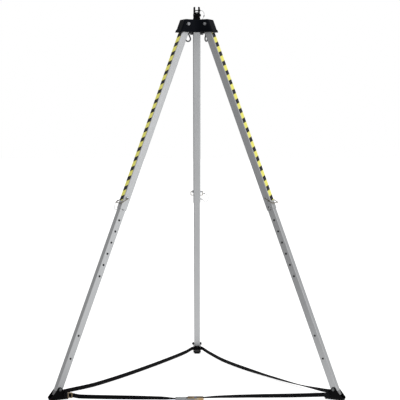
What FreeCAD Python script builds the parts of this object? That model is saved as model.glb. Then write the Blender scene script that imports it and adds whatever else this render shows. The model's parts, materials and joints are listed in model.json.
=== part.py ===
"""Rescue tripod with a cast head, telescopic square legs, hinged steel feet and foot webbing.

Units are millimetres and +Z is up. Each leg is drawn once in its own leg frame: x runs along
the hinge bolt, y points out of the leg's outer face, z runs down the leg from the hinge.
"""
import FreeCAD, Part
import math
import os

V = FreeCAD.Vector

# Legs
LEG_AZIMUTHS = {"left": 210.0, "right": 330.0, "rear": 90.0}
SPLAY = 21.8
HINGE_RADIUS = 81.0
HINGE_HEIGHT = 2208.5
HINGE_OFFSET = 9.0
FOOT_BOLT_HEIGHT = 62.0

# Clearances
RUNNING_FIT = 0.05
HOLE_FIT = 0.10
SIDE_PLAY = 0.3
SEAT_GAP = 0.3
SLIDE_PLAY = 0.3

# Upper tube
UPPER_WIDTH = 47.0
UPPER_DEPTH = 46.0
UPPER_CORNER = 6.0
UPPER_WALL = 2.0
UPPER_RISE = 13.0
UPPER_END = 1196.0

# Lower tube
GUIDE_GAP = 1.2
LOWER_CORNER = 4.5
LOWER_WALL = 2.5
TUBE_OVERLAP = 172.0
LOWER_WIDTH = UPPER_WIDTH - 2.0 * (UPPER_WALL + GUIDE_GAP)
LOWER_DEPTH = UPPER_DEPTH - 2.0 * (UPPER_WALL + GUIDE_GAP)
TUBE_TAIL = 14.0
PLUG_TAIL = 42.0
PLUG_GRIP = 40.0
GUIDE_CAP = 12.0
GUIDE_SPIGOT = 20.0
LINER_LENGTH = 60.0

# Height holes and the pin that locks them
HOLE_PITCH = 70.0
HOLE_COUNT = 8
LOW_HOLE_STEPS = (12.25, 14.25)
PIN_SETBACK = 72.0
PIN_STATION = UPPER_END - PIN_SETBACK
PIN_RADIUS = 6.0
PIN_HEAD_RADIUS = 9.0
PIN_HEAD_LENGTH = 8.0
PIN_TIP_REACH = 10.5
LOWER_HOLE_PLAY = 0.5

# Spring wire bail of the pin
BAIL_WIRE = 2.2
BAIL_BULGE = 16.5
BAIL_REACH = 54.0
BAIL_TIP_GAP = 1.0
BAIL_SLOPE = 51.0
BAIL_BEND = 6.0

# Hinge bolts
HINGE_BOLT_RADIUS = 6.0
HINGE_HEX = 19.0
HINGE_HEAD_HEIGHT = 7.5
HINGE_NUT_HEIGHT = 10.0
WASHER_RADIUS = 12.0
WASHER_THICKNESS = 2.0
BUSH_WALL = 2.0

# Hazard tape
TAPE_WIDTH = 40.0
TAPE_THICKNESS = 0.4
TAPE_START = 64.0
TAPE_END_MARGIN = 50.0

# Head casting
HEAD_DROP = 48.5
HEAD_RISE = 29.5
HEAD_BOTTOM = HINGE_HEIGHT - HEAD_DROP
HEAD_TOP = HINGE_HEIGHT + HEAD_RISE
EAR_THICKNESS = 12.0
EAR_PLAY = 3.5
EAR_GAP = UPPER_WIDTH + 2.0 * EAR_PLAY
DECK_THICKNESS = 9.0
WEB_THICKNESS = 9.0
WEB_SETBACK = 5.0
VALLEY_RADIUS = 60.0
ARM_EDGE_RADIUS = 12.0
TOP_EDGE_RADIUS = 8.0
RIM_HEIGHT = 16.0
RIM_PROUD = 2.5
ARM_REACH = 2.0 * HINGE_RADIUS
CABLE_HOLE_RADIUS = 16.0
CABLE_BOSS_WALL = 7.0
CABLE_BOSS_DROP = 16.0
RIB_THICKNESS = 7.0
STOP_STATION = 38.0
STOP_LENGTH = 16.0
STOP_WIDTH = 30.0

# Anchor eyes under the head
EYE_AZIMUTHS = {"left": 142.0, "right": 30.0}
EYE_TURNS = {"left": 8.0, "right": 62.0}
EYE_RADIUS_FROM_AXIS = 68.0
EYE_BORE = 11.0
EYE_WIRE = 4.0
EYE_SIDES = 12
EYE_DROP = 31.0
EYE_STEM_RADIUS = 6.0
EYE_COLLAR_RADIUS = 9.5
EYE_COLLAR_HEIGHT = 6.0
EYE_NUT_HEX = 19.0
EYE_NUT_HEIGHT = 8.0
LUG_RADIUS = 14.0
LUG_HEIGHT = 22.0

# Pulley bracket
BRACKET_LENGTH = 112.0
BRACKET_SETBACK = 8.0
BRACKET_WIDTH = 44.0
BRACKET_BASE = 8.0
CHEEK_GAP = 17.0
CHEEK_THICKNESS = 8.0
CHEEK_LENGTH = 54.0
CHEEK_TOP_RADIUS = 16.0
CHEEK_CROWN = 19.0
SHEAVE_FLOOR_GAP = 1.0
SHEAVE_SETBACK = 20.0
SHEAVE_RADIUS = 23.0
SHEAVE_WIDTH = 14.0
SHEAVE_GROOVE = 4.0
SHEAVE_GROOVE_STEPS = 6
AXLE_RADIUS = 6.0
AXLE_HEX = 17.0
AXLE_HEAD_HEIGHT = 5.5
AXLE_NUT_HEIGHT = 8.0
KEEPER_RADIUS = 3.0
KEEPER_GAP = 3.0
KEEPER_HEAD_RADIUS = 5.0
KEEPER_HEAD_LENGTH = 7.0
BRACKET_BOLT_RADIUS = 4.0
BRACKET_BOLT_HEX = 13.0
BRACKET_BOLT_HEAD = 5.5
BRACKET_BOLT_SPREAD = 28.0
BRACKET_BOLT_PITCH = 94.0

# Feet
FOOT_LENGTH = 112.0
FOOT_PLATE = 4.0
FOOT_PLAY = 1.7
FOOT_BEND = 8.0
EAR_PEAK_RADIUS = 13.0
EAR_SHOULDER = 46.0
PAD_THICKNESS = 6.0
PAD_CORNER = 4.0
PAD_GROOVES = 6
PAD_GROOVE_WIDTH = 4.0
PAD_GROOVE_DEPTH = 2.0
FOOT_BOLT_RADIUS = 5.0
FOOT_BOLT_HEX = 17.0
FOOT_BOLT_HEAD = 6.4
FOOT_NUT_HEIGHT = 8.0

# Webbing between the feet
WEB_WIDTH = 25.0
WEB_THICKNESS_STRAP = 2.2
WEB_TWIST_STEP = 6.0
SLOT_SETBACK = 20.0
SLOT_WIDTH = 5.0
SLOT_HEIGHT = 34.0
SLOT_CENTRE = 35.0
SLOT_EXIT = 34.0

# Ring at the left foot
RING_DISTANCE = 36.0
RING_WIRE = 2.5
RING_LENGTH = 22.0
RING_SLACK = 1.5

# Tensioning buckle on the front webbing
BUCKLE_X = -7.0
BUCKLE_FRONT = 47.0
BUCKLE_BACK = 47.0
BUCKLE_WIDTH = 38.0
BUCKLE_HEIGHT = 17.0
BUCKLE_PLATE = 2.5
BUCKLE_FLOOR_GAP = 1.0
BUCKLE_BAR = 3.0
SPOOL_RADIUS = 5.0
SPOOL_WRAP = 2.4
RATCHET_RADIUS = 8.0
RATCHET_TOOTH = 1.4
RATCHET_TEETH = 12
RATCHET_THICKNESS = 2.0
LEVER_REACH = 117.0
LEVER_ARM = 52.0
LEVER_PLATE = 2.0
GRIP_HEIGHT = 6.0

# Cords
CORD_SIDES = 8
LANYARD_RADIUS = 1.0
LANYARD_RIVET_MARGIN = 18.0
FERRULE_RADIUS = 2.2
FERRULE_LENGTH = 12.0
BEND_SHARE = 0.45

# Worked out from the values above
SIN_SPLAY = math.sin(math.radians(SPLAY))
COS_SPLAY = math.cos(math.radians(SPLAY))
TUBE_AXIS = -HINGE_OFFSET
OUTER_FACE = UPPER_DEPTH / 2.0 - HINGE_OFFSET
SIDE_FACE = UPPER_WIDTH / 2.0
LOWER_TOP = UPPER_END - TUBE_OVERLAP
FOOT_STATION = (HINGE_HEIGHT - HINGE_OFFSET * SIN_SPLAY - FOOT_BOLT_HEIGHT) / COS_SPLAY
FOOT_RADIUS = HINGE_RADIUS - HINGE_OFFSET * COS_SPLAY + FOOT_STATION * SIN_SPLAY
FOOT_INNER = LOWER_WIDTH + 2.0 * FOOT_PLAY
FOOT_WIDTH = FOOT_INNER + 2.0 * FOOT_PLATE
ARM_WIDTH = EAR_GAP + 2.0 * EAR_THICKNESS
WEB_INNER = OUTER_FACE + WEB_SETBACK
WEB_OUTER = WEB_INNER + WEB_THICKNESS
DECK_UNDER = HEAD_TOP - DECK_THICKNESS
BASE_TOP = HEAD_TOP + BRACKET_BASE
SHEAVE_HEIGHT = BASE_TOP + SHEAVE_FLOOR_GAP + SHEAVE_RADIUS
CHEEK_OUTER = CHEEK_GAP / 2.0 + CHEEK_THICKNESS
KEEPER_HEIGHT = SHEAVE_HEIGHT + SHEAVE_RADIUS + KEEPER_GAP + KEEPER_RADIUS
WEBBING_RADIUS = FOOT_RADIUS - SLOT_SETBACK
FRONT_LINE = -0.5 * WEBBING_RADIUS - SLOT_EXIT * math.cos(math.radians(30.0))
LEVER_INNER = BUCKLE_WIDTH / 2.0 + RATCHET_THICKNESS + 2.0 * SIDE_PLAY
REAR_REACH = FOOT_RADIUS + FOOT_LENGTH / 2.0
FRONT_REACH = 0.5 * REAR_REACH + FOOT_WIDTH / 2.0 * math.cos(math.radians(30.0))
FOOTPRINT_SHIFT = (FRONT_REACH - REAR_REACH) / 2.0


def leg_placement(azimuth):
    """Placement that takes the leg frame to its place under the head."""
    angle = math.radians(azimuth)
    out = V(math.cos(angle), math.sin(angle), 0)
    side = V(-math.sin(angle), math.cos(angle), 0)
    up = V(0, 0, 1)
    normal = out * COS_SPLAY + up * SIN_SPLAY
    along = out * SIN_SPLAY - up * COS_SPLAY
    origin = out * HINGE_RADIUS + up * HINGE_HEIGHT
    matrix = FreeCAD.Matrix(
        side.x, normal.x, along.x, origin.x,
        side.y, normal.y, along.y, origin.y,
        side.z, normal.z, along.z, origin.z,
        0, 0, 0, 1)
    return FreeCAD.Placement(matrix)


def foot_placement(azimuth):
    """Placement of the foot frame: origin on the foot bolt, x along it, y outward, z up."""
    turn = FreeCAD.Rotation(V(0, 0, 1), azimuth - 90.0)
    centre = turn.multVec(V(0, FOOT_RADIUS, FOOT_BOLT_HEIGHT))
    return FreeCAD.Placement(centre, turn)


def placed(shape, placement):
    """A copy of the shape, carried by a placement."""
    moved = shape.copy()
    moved.Placement = placement.multiply(moved.Placement)
    return moved


def cylinder_x(radius, start, end, y=0.0, z=0.0):
    """Cylinder along x between two stations."""
    return Part.makeCylinder(radius, end - start, V(start, y, z), V(1, 0, 0))


def cylinder_z(radius, start, end, x=0.0, y=0.0):
    """Upright cylinder between two heights."""
    return Part.makeCylinder(radius, end - start, V(x, y, start), V(0, 0, 1))


def hexagon_prism(across_flats, height):
    """Hexagonal prism on the XY plane, standing up along z."""
    radius = across_flats / math.sqrt(3.0)
    corners = []
    for index in range(7):
        angle = math.radians(60.0 * index)
        corners.append(V(radius * math.cos(angle), radius * math.sin(angle), 0))
    face = Part.Face(Part.makePolygon(corners))
    return face.extrude(V(0, 0, height))


def hex_x(across_flats, start, end, y=0.0, z=0.0):
    """Hexagonal prism along x between two stations."""
    prism = hexagon_prism(across_flats, end - start)
    turn = FreeCAD.Rotation(V(0, 0, 1), V(1, 0, 0))
    return placed(prism, FreeCAD.Placement(V(start, y, z), turn))


def box(x0, x1, y0, y1, z0, z1):
    """Box between two corners."""
    return Part.makeBox(x1 - x0, y1 - y0, z1 - z0, V(x0, y0, z0))


def edges_along(shape, direction):
    """Straight edges of a shape that run along a direction."""
    found = []
    for edge in shape.Edges:
        if isinstance(edge.Curve, Part.Line):
            if edge.tangentAt(edge.FirstParameter).cross(direction).Length < 1e-6:
                found.append(edge)
    return found


def rounded_bar(width, depth, corner, start, end):
    """Square bar with round corners, on the leg's centre line."""
    bar = box(-width / 2, width / 2, TUBE_AXIS - depth / 2, TUBE_AXIS + depth / 2, start, end)
    return bar.makeFillet(corner, edges_along(bar, V(0, 0, 1)))


def rounded_tube(width, depth, corner, wall, start, end):
    """Square tube with round corners, on the leg's centre line."""
    outer = rounded_bar(width, depth, corner, start, end)
    bore = rounded_bar(width - 2 * wall, depth - 2 * wall, max(corner - wall, 1.0), start - 1, end + 1)
    return outer.cut(bore)


def ring_profile(centre, direction, radius, sides):
    """Closed many-sided profile of a wire or cord, across its direction."""
    turn = FreeCAD.Rotation(V(0, 0, 1), direction)
    corners = []
    for index in range(sides + 1):
        angle = math.radians(360.0 * (index % sides + 0.5) / sides)
        corners.append(centre + turn.multVec(V(radius * math.cos(angle), radius * math.sin(angle), 0)))
    return Part.Wire(Part.makePolygon(corners))


def bend_radius(first, middle, last):
    """Largest arc radius that a cord's corner may take, from its two runs and its turn."""
    run_in = (middle - first).Length
    run_out = (last - middle).Length
    turn = (middle - first).getAngle(last - middle)
    return BEND_SHARE * min(run_in, run_out) / math.tan(turn / 2.0)


def cord_path(points, limit=None):
    """Wire of straight runs joined by tangent arcs, with its smallest arc radius."""
    edges = []
    smallest = 1e9
    start = points[0]
    for index in range(1, len(points) - 1):
        middle = points[index]
        arrive = (middle - points[index - 1]).normalize()
        leave = (points[index + 1] - middle).normalize()
        half = arrive.getAngle(leave) / 2.0
        radius = bend_radius(points[index - 1], middle, points[index + 1])
        if limit is not None:
            radius = min(radius, limit)
        smallest = min(smallest, radius)
        trim = radius * math.tan(half)
        enter = middle - arrive * trim
        depart = middle + leave * trim
        inward = (leave - arrive).normalize()
        centre = middle + inward * (radius / math.cos(half))
        crown = centre - inward * radius
        edges.append(Part.LineSegment(start, enter).toShape())
        edges.append(Part.Arc(enter, crown, depart).toShape())
        start = depart
    edges.append(Part.LineSegment(start, points[-1]).toShape())
    return Part.Wire(edges), smallest


def cord_tube(name, points, radius, limit=None):
    """Solid tube along a cord's route; prints its length, smallest radius and volume error."""
    path, smallest = cord_path(points, limit)
    profile = ring_profile(points[0], points[1] - points[0], radius, CORD_SIDES)
    tube = path.makePipeShell([profile], True, True)
    expected = Part.Face(profile).Area * path.Length
    error = tube.Volume / expected - 1.0
    print(f"{name}: length {path.Length:.1f}, least bend radius {smallest:.1f}, volume error {error:.5f}")
    return tube


def facet(corners):
    """Flat three-sided face."""
    return Part.Face(Part.makePolygon(corners + [corners[0]]))


def band(stations, width, thickness):
    """Webbing as flat facets between rectangles; a station is (point, heading, roll)."""
    sections = []
    for point, heading, roll in stations:
        level = V(heading.x, heading.y, 0).normalize()
        turn = FreeCAD.Rotation(level, roll)
        across = turn.multVec(V(0, 0, 1)) * (width / 2.0)
        through = turn.multVec(level.cross(V(0, 0, 1))) * (thickness / 2.0)
        corners = [point + across + through, point + across - through]
        corners += [point - across - through, point - across + through]
        sections.append(corners)
    faces = []
    for first, second in zip(sections, sections[1:]):
        for index in (0, 3):
            after = (index + 1) % 4
            faces.append(facet([first[index], first[after], second[index]]))
            faces.append(facet([first[after], second[after], second[index]]))
        for index in (1, 2):
            after = index + 1
            faces.append(facet([first[index], first[after], second[after]]))
            faces.append(facet([first[index], second[after], second[index]]))
    for end in (sections[0], sections[-1]):
        faces.append(facet([end[0], end[1], end[2]]))
        faces.append(facet([end[0], end[2], end[3]]))
    shell = Part.Shell(faces)
    shell.sewShape()
    solid = Part.Solid(shell)
    if solid.Volume < 0:
        solid.reverse()
    return solid


def upper_tube():
    """Upper leg tube with the hinge hole and the hole for the lock pin."""
    tube = rounded_tube(UPPER_WIDTH, UPPER_DEPTH, UPPER_CORNER, UPPER_WALL, -UPPER_RISE, UPPER_END)
    bush_radius = HINGE_BOLT_RADIUS + BUSH_WALL
    tube = tube.cut(cylinder_x(bush_radius + RUNNING_FIT, -UPPER_WIDTH, UPPER_WIDTH))
    pin_hole = cylinder_x(PIN_RADIUS + HOLE_FIT, -UPPER_WIDTH, UPPER_WIDTH, TUBE_AXIS, PIN_STATION)
    return tube.cut(pin_hole)


def hinge_bush():
    """Steel bush through the upper tube, between the ears of the head."""
    half = EAR_GAP / 2.0 - SIDE_PLAY
    outer = cylinder_x(HINGE_BOLT_RADIUS + BUSH_WALL, -half, half)
    return outer.cut(cylinder_x(HINGE_BOLT_RADIUS + RUNNING_FIT, -half - 1, half + 1))


def hazard_tape():
    """Striped tape on the outer face of the upper tube, its edges lapped round the corners."""
    half = TAPE_WIDTH / 2.0
    end = UPPER_END - TAPE_END_MARGIN
    width = UPPER_WIDTH + 2.0 * TAPE_THICKNESS
    depth = UPPER_DEPTH + 2.0 * TAPE_THICKNESS
    skin = rounded_bar(width, depth, UPPER_CORNER + TAPE_THICKNESS, TAPE_START, end)
    skin = skin.cut(rounded_bar(UPPER_WIDTH, UPPER_DEPTH, UPPER_CORNER, TAPE_START - 1.0, end + 1.0))
    lap = OUTER_FACE - UPPER_CORNER
    return skin.common(box(-half, half, lap, OUTER_FACE + UPPER_DEPTH, TAPE_START, end))


def guide_liner():
    """Plastic sleeve inside the upper tube's end that the lower tube slides in."""
    bore_width = UPPER_WIDTH - 2 * UPPER_WALL
    bore_depth = UPPER_DEPTH - 2 * UPPER_WALL
    wall = GUIDE_GAP - SLIDE_PLAY
    start = UPPER_END - LINER_LENGTH
    return rounded_tube(bore_width, bore_depth, UPPER_CORNER - UPPER_WALL + RUNNING_FIT, wall, start, UPPER_END)


def height_hole_stations():
    """Stations of the height holes along the lower tube."""
    steps = list(range(HOLE_COUNT)) + list(LOW_HOLE_STEPS)
    return [PIN_STATION + step * HOLE_PITCH for step in steps]


def lower_tube():
    """Lower leg tube with its row of height holes and the hole for the foot bolt."""
    end = FOOT_STATION + TUBE_TAIL
    tube = rounded_tube(LOWER_WIDTH, LOWER_DEPTH, LOWER_CORNER, LOWER_WALL, LOWER_TOP, end)
    radius = PIN_RADIUS + LOWER_HOLE_PLAY
    cutters = [cylinder_x(radius, -UPPER_WIDTH, UPPER_WIDTH, TUBE_AXIS, s) for s in height_hole_stations()]
    bolt_radius = FOOT_BOLT_RADIUS + HOLE_FIT
    cutters.append(cylinder_x(bolt_radius, -UPPER_WIDTH, UPPER_WIDTH, TUBE_AXIS, FOOT_STATION))
    return tube.cut(Part.makeCompound(cutters))


def top_guide():
    """Plastic guide on top of the lower tube, running inside the upper tube."""
    width = UPPER_WIDTH - 2 * (UPPER_WALL + SLIDE_PLAY)
    depth = UPPER_DEPTH - 2 * (UPPER_WALL + SLIDE_PLAY)
    cap = rounded_bar(width, depth, UPPER_CORNER - UPPER_WALL, LOWER_TOP - GUIDE_CAP, LOWER_TOP)
    spigot_width = LOWER_WIDTH - 2 * LOWER_WALL
    spigot_depth = LOWER_DEPTH - 2 * LOWER_WALL
    corner = LOWER_CORNER - LOWER_WALL + RUNNING_FIT
    spigot = rounded_bar(spigot_width, spigot_depth, corner, LOWER_TOP, LOWER_TOP + GUIDE_SPIGOT)
    body = cap.fuse(spigot).removeSplitter()
    vent = cylinder_z(spigot_depth / 4.0, LOWER_TOP - 2 * GUIDE_CAP, LOWER_TOP + 2 * GUIDE_SPIGOT, 0.0, TUBE_AXIS)
    return body.cut(vent)


def foot_plug():
    """Solid end of the lower tube: a tongue inside it and a block that turns in the foot."""
    tongue_width = LOWER_WIDTH - 2 * LOWER_WALL
    tongue_depth = LOWER_DEPTH - 2 * LOWER_WALL
    corner = LOWER_CORNER - LOWER_WALL + RUNNING_FIT
    edge = FOOT_STATION + TUBE_TAIL
    tongue = rounded_bar(tongue_width, tongue_depth, corner, FOOT_STATION - PLUG_GRIP, edge)
    block = rounded_bar(LOWER_WIDTH, LOWER_DEPTH, LOWER_CORNER, edge, FOOT_STATION + PLUG_TAIL)
    body = tongue.fuse(block).removeSplitter()
    bore = cylinder_x(FOOT_BOLT_RADIUS + RUNNING_FIT, -UPPER_WIDTH, UPPER_WIDTH, TUBE_AXIS, FOOT_STATION)
    return body.cut(bore)


def lock_pin():
    """Round pin through both tubes, with a head on one side and a grooved tip on the other."""
    tip = -SIDE_FACE - PIN_TIP_REACH
    seat = SIDE_FACE + SEAT_GAP
    shank = cylinder_x(PIN_RADIUS, tip, seat, TUBE_AXIS, PIN_STATION)
    head = cylinder_x(PIN_HEAD_RADIUS, seat, seat + PIN_HEAD_LENGTH, TUBE_AXIS, PIN_STATION)
    pin = shank.fuse(head).removeSplitter()
    ends = [edge for edge in pin.Edges if abs(edge.CenterOfMass.x - tip) < 1e-3]
    return pin.makeChamfer(PIN_RADIUS / 4.0, ends)


def bail_point(x, reach):
    """Point of the pin's bail in the leg frame, in its sloping plane through the pin."""
    slope = math.radians(BAIL_SLOPE)
    return V(x, TUBE_AXIS + reach * math.cos(slope), PIN_STATION + reach * math.sin(slope))


def bail_far_side():
    """Place of the bail's far side, just past the pin's tip."""
    return -SIDE_FACE - PIN_TIP_REACH - BAIL_TIP_GAP - BAIL_WIRE


def pin_bail(name):
    """Spring wire that swings round the leg from the pin's head and closes over its tip."""
    head_face = SIDE_FACE + SEAT_GAP + PIN_HEAD_LENGTH
    near = SIDE_FACE + BAIL_BULGE
    far = bail_far_side()
    points = [bail_point(head_face, 0.0), bail_point(near, 0.0), bail_point(near, BAIL_REACH)]
    points += [bail_point(far, BAIL_REACH), bail_point(far, -2.0 * BAIL_WIRE)]
    return cord_tube(name, points, BAIL_WIRE, BAIL_BEND)


def pin_lanyard(name):
    """Thin cable from the bail's far side, in a loose loop, to the side of the upper tube."""
    start = bail_point(bail_far_side() - BAIL_WIRE - SEAT_GAP, 30.0)
    end = V(-SIDE_FACE, TUBE_AXIS, UPPER_END - LANYARD_RIVET_MARGIN)
    points = [
        start,
        start + V(-16, 0, 0),
        start + V(-31, -1, 9),
        start + V(-37, -3, 28),
        start + V(-33, -6, 48),
        start + V(-19, -9, 62),
        end + V(-22, 2, 15),
        end + V(-13, 0, 0),
        end,
    ]
    return cord_tube(name, points, LANYARD_RADIUS)


def tri_arm(half_width, valley, web_face, bottom, top):
    """Solid of three equal arms, with hollow curves between them and sloping ends."""
    arms = []
    for azimuth in LEG_AZIMUTHS.values():
        arm = box(0, ARM_REACH, -half_width, half_width, bottom, top)
        arm.rotate(V(0, 0, 0), V(0, 0, 1), azimuth)
        arms.append(arm)
    star = arms[0].multiFuse(arms[1:]).removeSplitter()
    corner = half_width / math.sin(math.radians(60.0))
    edges = []
    for edge in edges_along(star, V(0, 0, 1)):
        middle = edge.CenterOfMass
        if math.hypot(middle.x, middle.y) < corner + 1.0:
            edges.append(edge)
    star = star.makeFillet(valley, edges)
    for azimuth in LEG_AZIMUTHS.values():
        beyond = box(-ARM_REACH, ARM_REACH, web_face, web_face + ARM_REACH, -ARM_REACH, ARM_REACH)
        star = star.cut(placed(beyond, leg_placement(azimuth)))
    return star


def sloping_edges(shape):
    """Edges that run down the sloping arm ends."""
    found = []
    for azimuth in LEG_AZIMUTHS.values():
        along = leg_placement(azimuth).Rotation.multVec(V(0, 0, 1))
        found += edges_along(shape, along)
    return found


def edges_at_height(shape, height):
    """Edges that lie flat at one height."""
    found = []
    for edge in shape.Edges:
        limits = edge.BoundBox
        if abs(limits.ZMin - height) < 1e-3 and abs(limits.ZMax - height) < 1e-3:
            found.append(edge)
    return found


def head_shell():
    """Outer body of the head: crowned arms with a proud rim round the open bottom."""
    half = ARM_WIDTH / 2.0
    shell = tri_arm(half, VALLEY_RADIUS, WEB_OUTER, HEAD_BOTTOM, HEAD_TOP)
    shell = shell.makeFillet(ARM_EDGE_RADIUS, sloping_edges(shell))
    shell = shell.makeFillet(TOP_EDGE_RADIUS, edges_at_height(shell, HEAD_TOP))
    rim = tri_arm(half + RIM_PROUD, VALLEY_RADIUS - RIM_PROUD, WEB_OUTER + RIM_PROUD,
                  HEAD_BOTTOM, HEAD_BOTTOM + RIM_HEIGHT)
    rim = rim.makeFillet(ARM_EDGE_RADIUS, sloping_edges(rim))
    return shell.fuse(rim).removeSplitter()


def cable_boss():
    """Round boss with three ribs under the deck, where the lifting cable passes."""
    radius = CABLE_HOLE_RADIUS + CABLE_BOSS_WALL
    bottom = DECK_UNDER - CABLE_BOSS_DROP
    boss = cylinder_z(radius, bottom, DECK_UNDER)
    reach = EAR_GAP / 2.0 / math.sin(math.radians(60.0)) + EAR_THICKNESS
    for azimuth in LEG_AZIMUTHS.values():
        rib = box(CABLE_HOLE_RADIUS, reach, -RIB_THICKNESS / 2, RIB_THICKNESS / 2, bottom, DECK_UNDER)
        rib.rotate(V(0, 0, 0), V(0, 0, 1), azimuth + 60.0)
        boss = boss.fuse(rib)
    return boss


def fold_stop():
    """Pad on the end web that the leg leans on when it is spread."""
    half = STOP_WIDTH / 2.0
    near = OUTER_FACE + SEAT_GAP
    return box(-half, half, near, WEB_INNER + 1.0, STOP_STATION, STOP_STATION + STOP_LENGTH)


def anchor_lug(azimuth):
    """Lug in a valley of the head that carries an anchor eye."""
    top = HEAD_BOTTOM + LUG_HEIGHT
    root = ARM_WIDTH / 2.0 / math.sin(math.radians(60.0))
    lug = cylinder_z(LUG_RADIUS, HEAD_BOTTOM, top, EYE_RADIUS_FROM_AXIS, 0.0)
    neck = box(root, EYE_RADIUS_FROM_AXIS, -LUG_RADIUS, LUG_RADIUS, HEAD_BOTTOM, top)
    lug = lug.fuse(neck)
    lug.rotate(V(0, 0, 0), V(0, 0, 1), azimuth)
    return lug


def head_casting():
    """Cast head: three channel arms, deck, ribs, fold stops and anchor lugs."""
    casting = head_shell()
    for azimuth in EYE_AZIMUTHS.values():
        casting = casting.fuse(anchor_lug(azimuth))
    pocket = tri_arm(EAR_GAP / 2.0, VALLEY_RADIUS + EAR_THICKNESS, WEB_INNER, HEAD_BOTTOM - 1.0, DECK_UNDER)
    casting = casting.cut(pocket)
    casting = casting.fuse(cable_boss())
    for azimuth in LEG_AZIMUTHS.values():
        casting = casting.fuse(placed(fold_stop(), leg_placement(azimuth)))
    casting = casting.removeSplitter()
    cutters = [cylinder_z(CABLE_HOLE_RADIUS, HEAD_BOTTOM, HEAD_TOP + 1.0)]
    for azimuth in LEG_AZIMUTHS.values():
        hole = cylinder_x(HINGE_BOLT_RADIUS + HOLE_FIT, -ARM_WIDTH, ARM_WIDTH)
        cutters.append(placed(hole, leg_placement(azimuth)))
    for azimuth in EYE_AZIMUTHS.values():
        hole = cylinder_z(EYE_STEM_RADIUS + RUNNING_FIT, HEAD_BOTTOM - 1.0, HEAD_TOP, EYE_RADIUS_FROM_AXIS)
        hole.rotate(V(0, 0, 0), V(0, 0, 1), azimuth)
        cutters.append(hole)
    for x, y in bracket_bolt_places():
        cutters.append(cylinder_z(BRACKET_BOLT_RADIUS + HOLE_FIT, DECK_UNDER - 1.0, HEAD_TOP + 1.0, x, y))
    return casting.cut(Part.makeCompound(cutters))


def hinge_bolts():
    """Three bolts through the ears of the head, with a washer under each head."""
    half = ARM_WIDTH / 2.0
    seat = half + WASHER_THICKNESS
    end = -seat - HINGE_NUT_HEIGHT - 3.0
    shank = cylinder_x(HINGE_BOLT_RADIUS, end, seat)
    bolt = shank.fuse(hex_x(HINGE_HEX, seat, seat + HINGE_HEAD_HEIGHT)).removeSplitter()
    washer = cylinder_x(WASHER_RADIUS, half, seat)
    washer = washer.cut(cylinder_x(HINGE_BOLT_RADIUS + HOLE_FIT, half - 1, seat + 1))
    pieces = []
    for azimuth in LEG_AZIMUTHS.values():
        pieces += [placed(bolt, leg_placement(azimuth)), placed(washer, leg_placement(azimuth))]
    return Part.makeCompound(pieces)


def hinge_nuts():
    """Three nuts with washers on the far ends of the hinge bolts."""
    half = ARM_WIDTH / 2.0
    seat = half + WASHER_THICKNESS
    bore = cylinder_x(HINGE_BOLT_RADIUS + RUNNING_FIT, -seat - HINGE_NUT_HEIGHT - 1, -half + 1)
    nut = hex_x(HINGE_HEX, -seat - HINGE_NUT_HEIGHT, -seat).cut(bore)
    washer = cylinder_x(WASHER_RADIUS, -seat, -half).cut(bore)
    pieces = []
    for azimuth in LEG_AZIMUTHS.values():
        pieces += [placed(nut, leg_placement(azimuth)), placed(washer, leg_placement(azimuth))]
    return Part.makeCompound(pieces)


def anchor_eye(side):
    """Forged pear shaped eye on a swivel stem, with its nut above the lug."""
    collar_top = HEAD_BOTTOM - SEAT_GAP
    collar_bottom = collar_top - EYE_COLLAR_HEIGHT
    ring_radius = EYE_BORE + EYE_WIRE
    centre = collar_bottom - EYE_DROP + EYE_WIRE
    waist = EYE_COLLAR_RADIUS - EYE_WIRE
    lean = math.atan2(ring_radius - waist, collar_bottom - centre)
    left = V(ring_radius * math.cos(lean), 0, centre + ring_radius * math.sin(lean))
    right = V(-left.x, 0, left.z)
    lowest = V(0, 0, centre - ring_radius)
    top_left = V(waist, 0, collar_bottom - 1.0)
    top_right = V(-waist, 0, collar_bottom - 1.0)
    edges = [
        Part.LineSegment(top_left, left).toShape(),
        Part.Arc(left, lowest, right).toShape(),
        Part.LineSegment(right, top_right).toShape(),
    ]
    path = Part.Wire(edges)
    profile = ring_profile(top_left, left - top_left, EYE_WIRE, EYE_SIDES)
    ring = path.makePipeShell([profile], True, True)
    collar = cylinder_z(EYE_COLLAR_RADIUS, collar_bottom - EYE_WIRE, collar_top)
    nut_seat = HEAD_BOTTOM + LUG_HEIGHT + SEAT_GAP
    stem = cylinder_z(EYE_STEM_RADIUS, collar_bottom, nut_seat + EYE_NUT_HEIGHT + 2.0)
    eye = ring.fuse(collar).fuse(stem).removeSplitter()
    bore = cylinder_z(EYE_STEM_RADIUS + RUNNING_FIT, nut_seat - 1.0, nut_seat + EYE_NUT_HEIGHT + 1.0)
    nut = hexagon_prism(EYE_NUT_HEX, EYE_NUT_HEIGHT)
    nut.translate(V(0, 0, nut_seat))
    nut = nut.cut(bore)
    group = Part.makeCompound([eye, nut])
    group.rotate(V(0, 0, 0), V(0, 0, 1), EYE_TURNS[side])
    angle = math.radians(EYE_AZIMUTHS[side])
    group.translate(V(EYE_RADIUS_FROM_AXIS * math.cos(angle), EYE_RADIUS_FROM_AXIS * math.sin(angle), 0))
    return group


def bracket_bolt_places():
    """Plan positions of the bolts that hold the pulley bracket."""
    places = []
    for x in (-BRACKET_BOLT_SPREAD / 2.0, BRACKET_BOLT_SPREAD / 2.0):
        for y in (-BRACKET_BOLT_PITCH / 2.0, BRACKET_BOLT_PITCH / 2.0):
            places.append((x, y + BRACKET_SETBACK))
    return places


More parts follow.
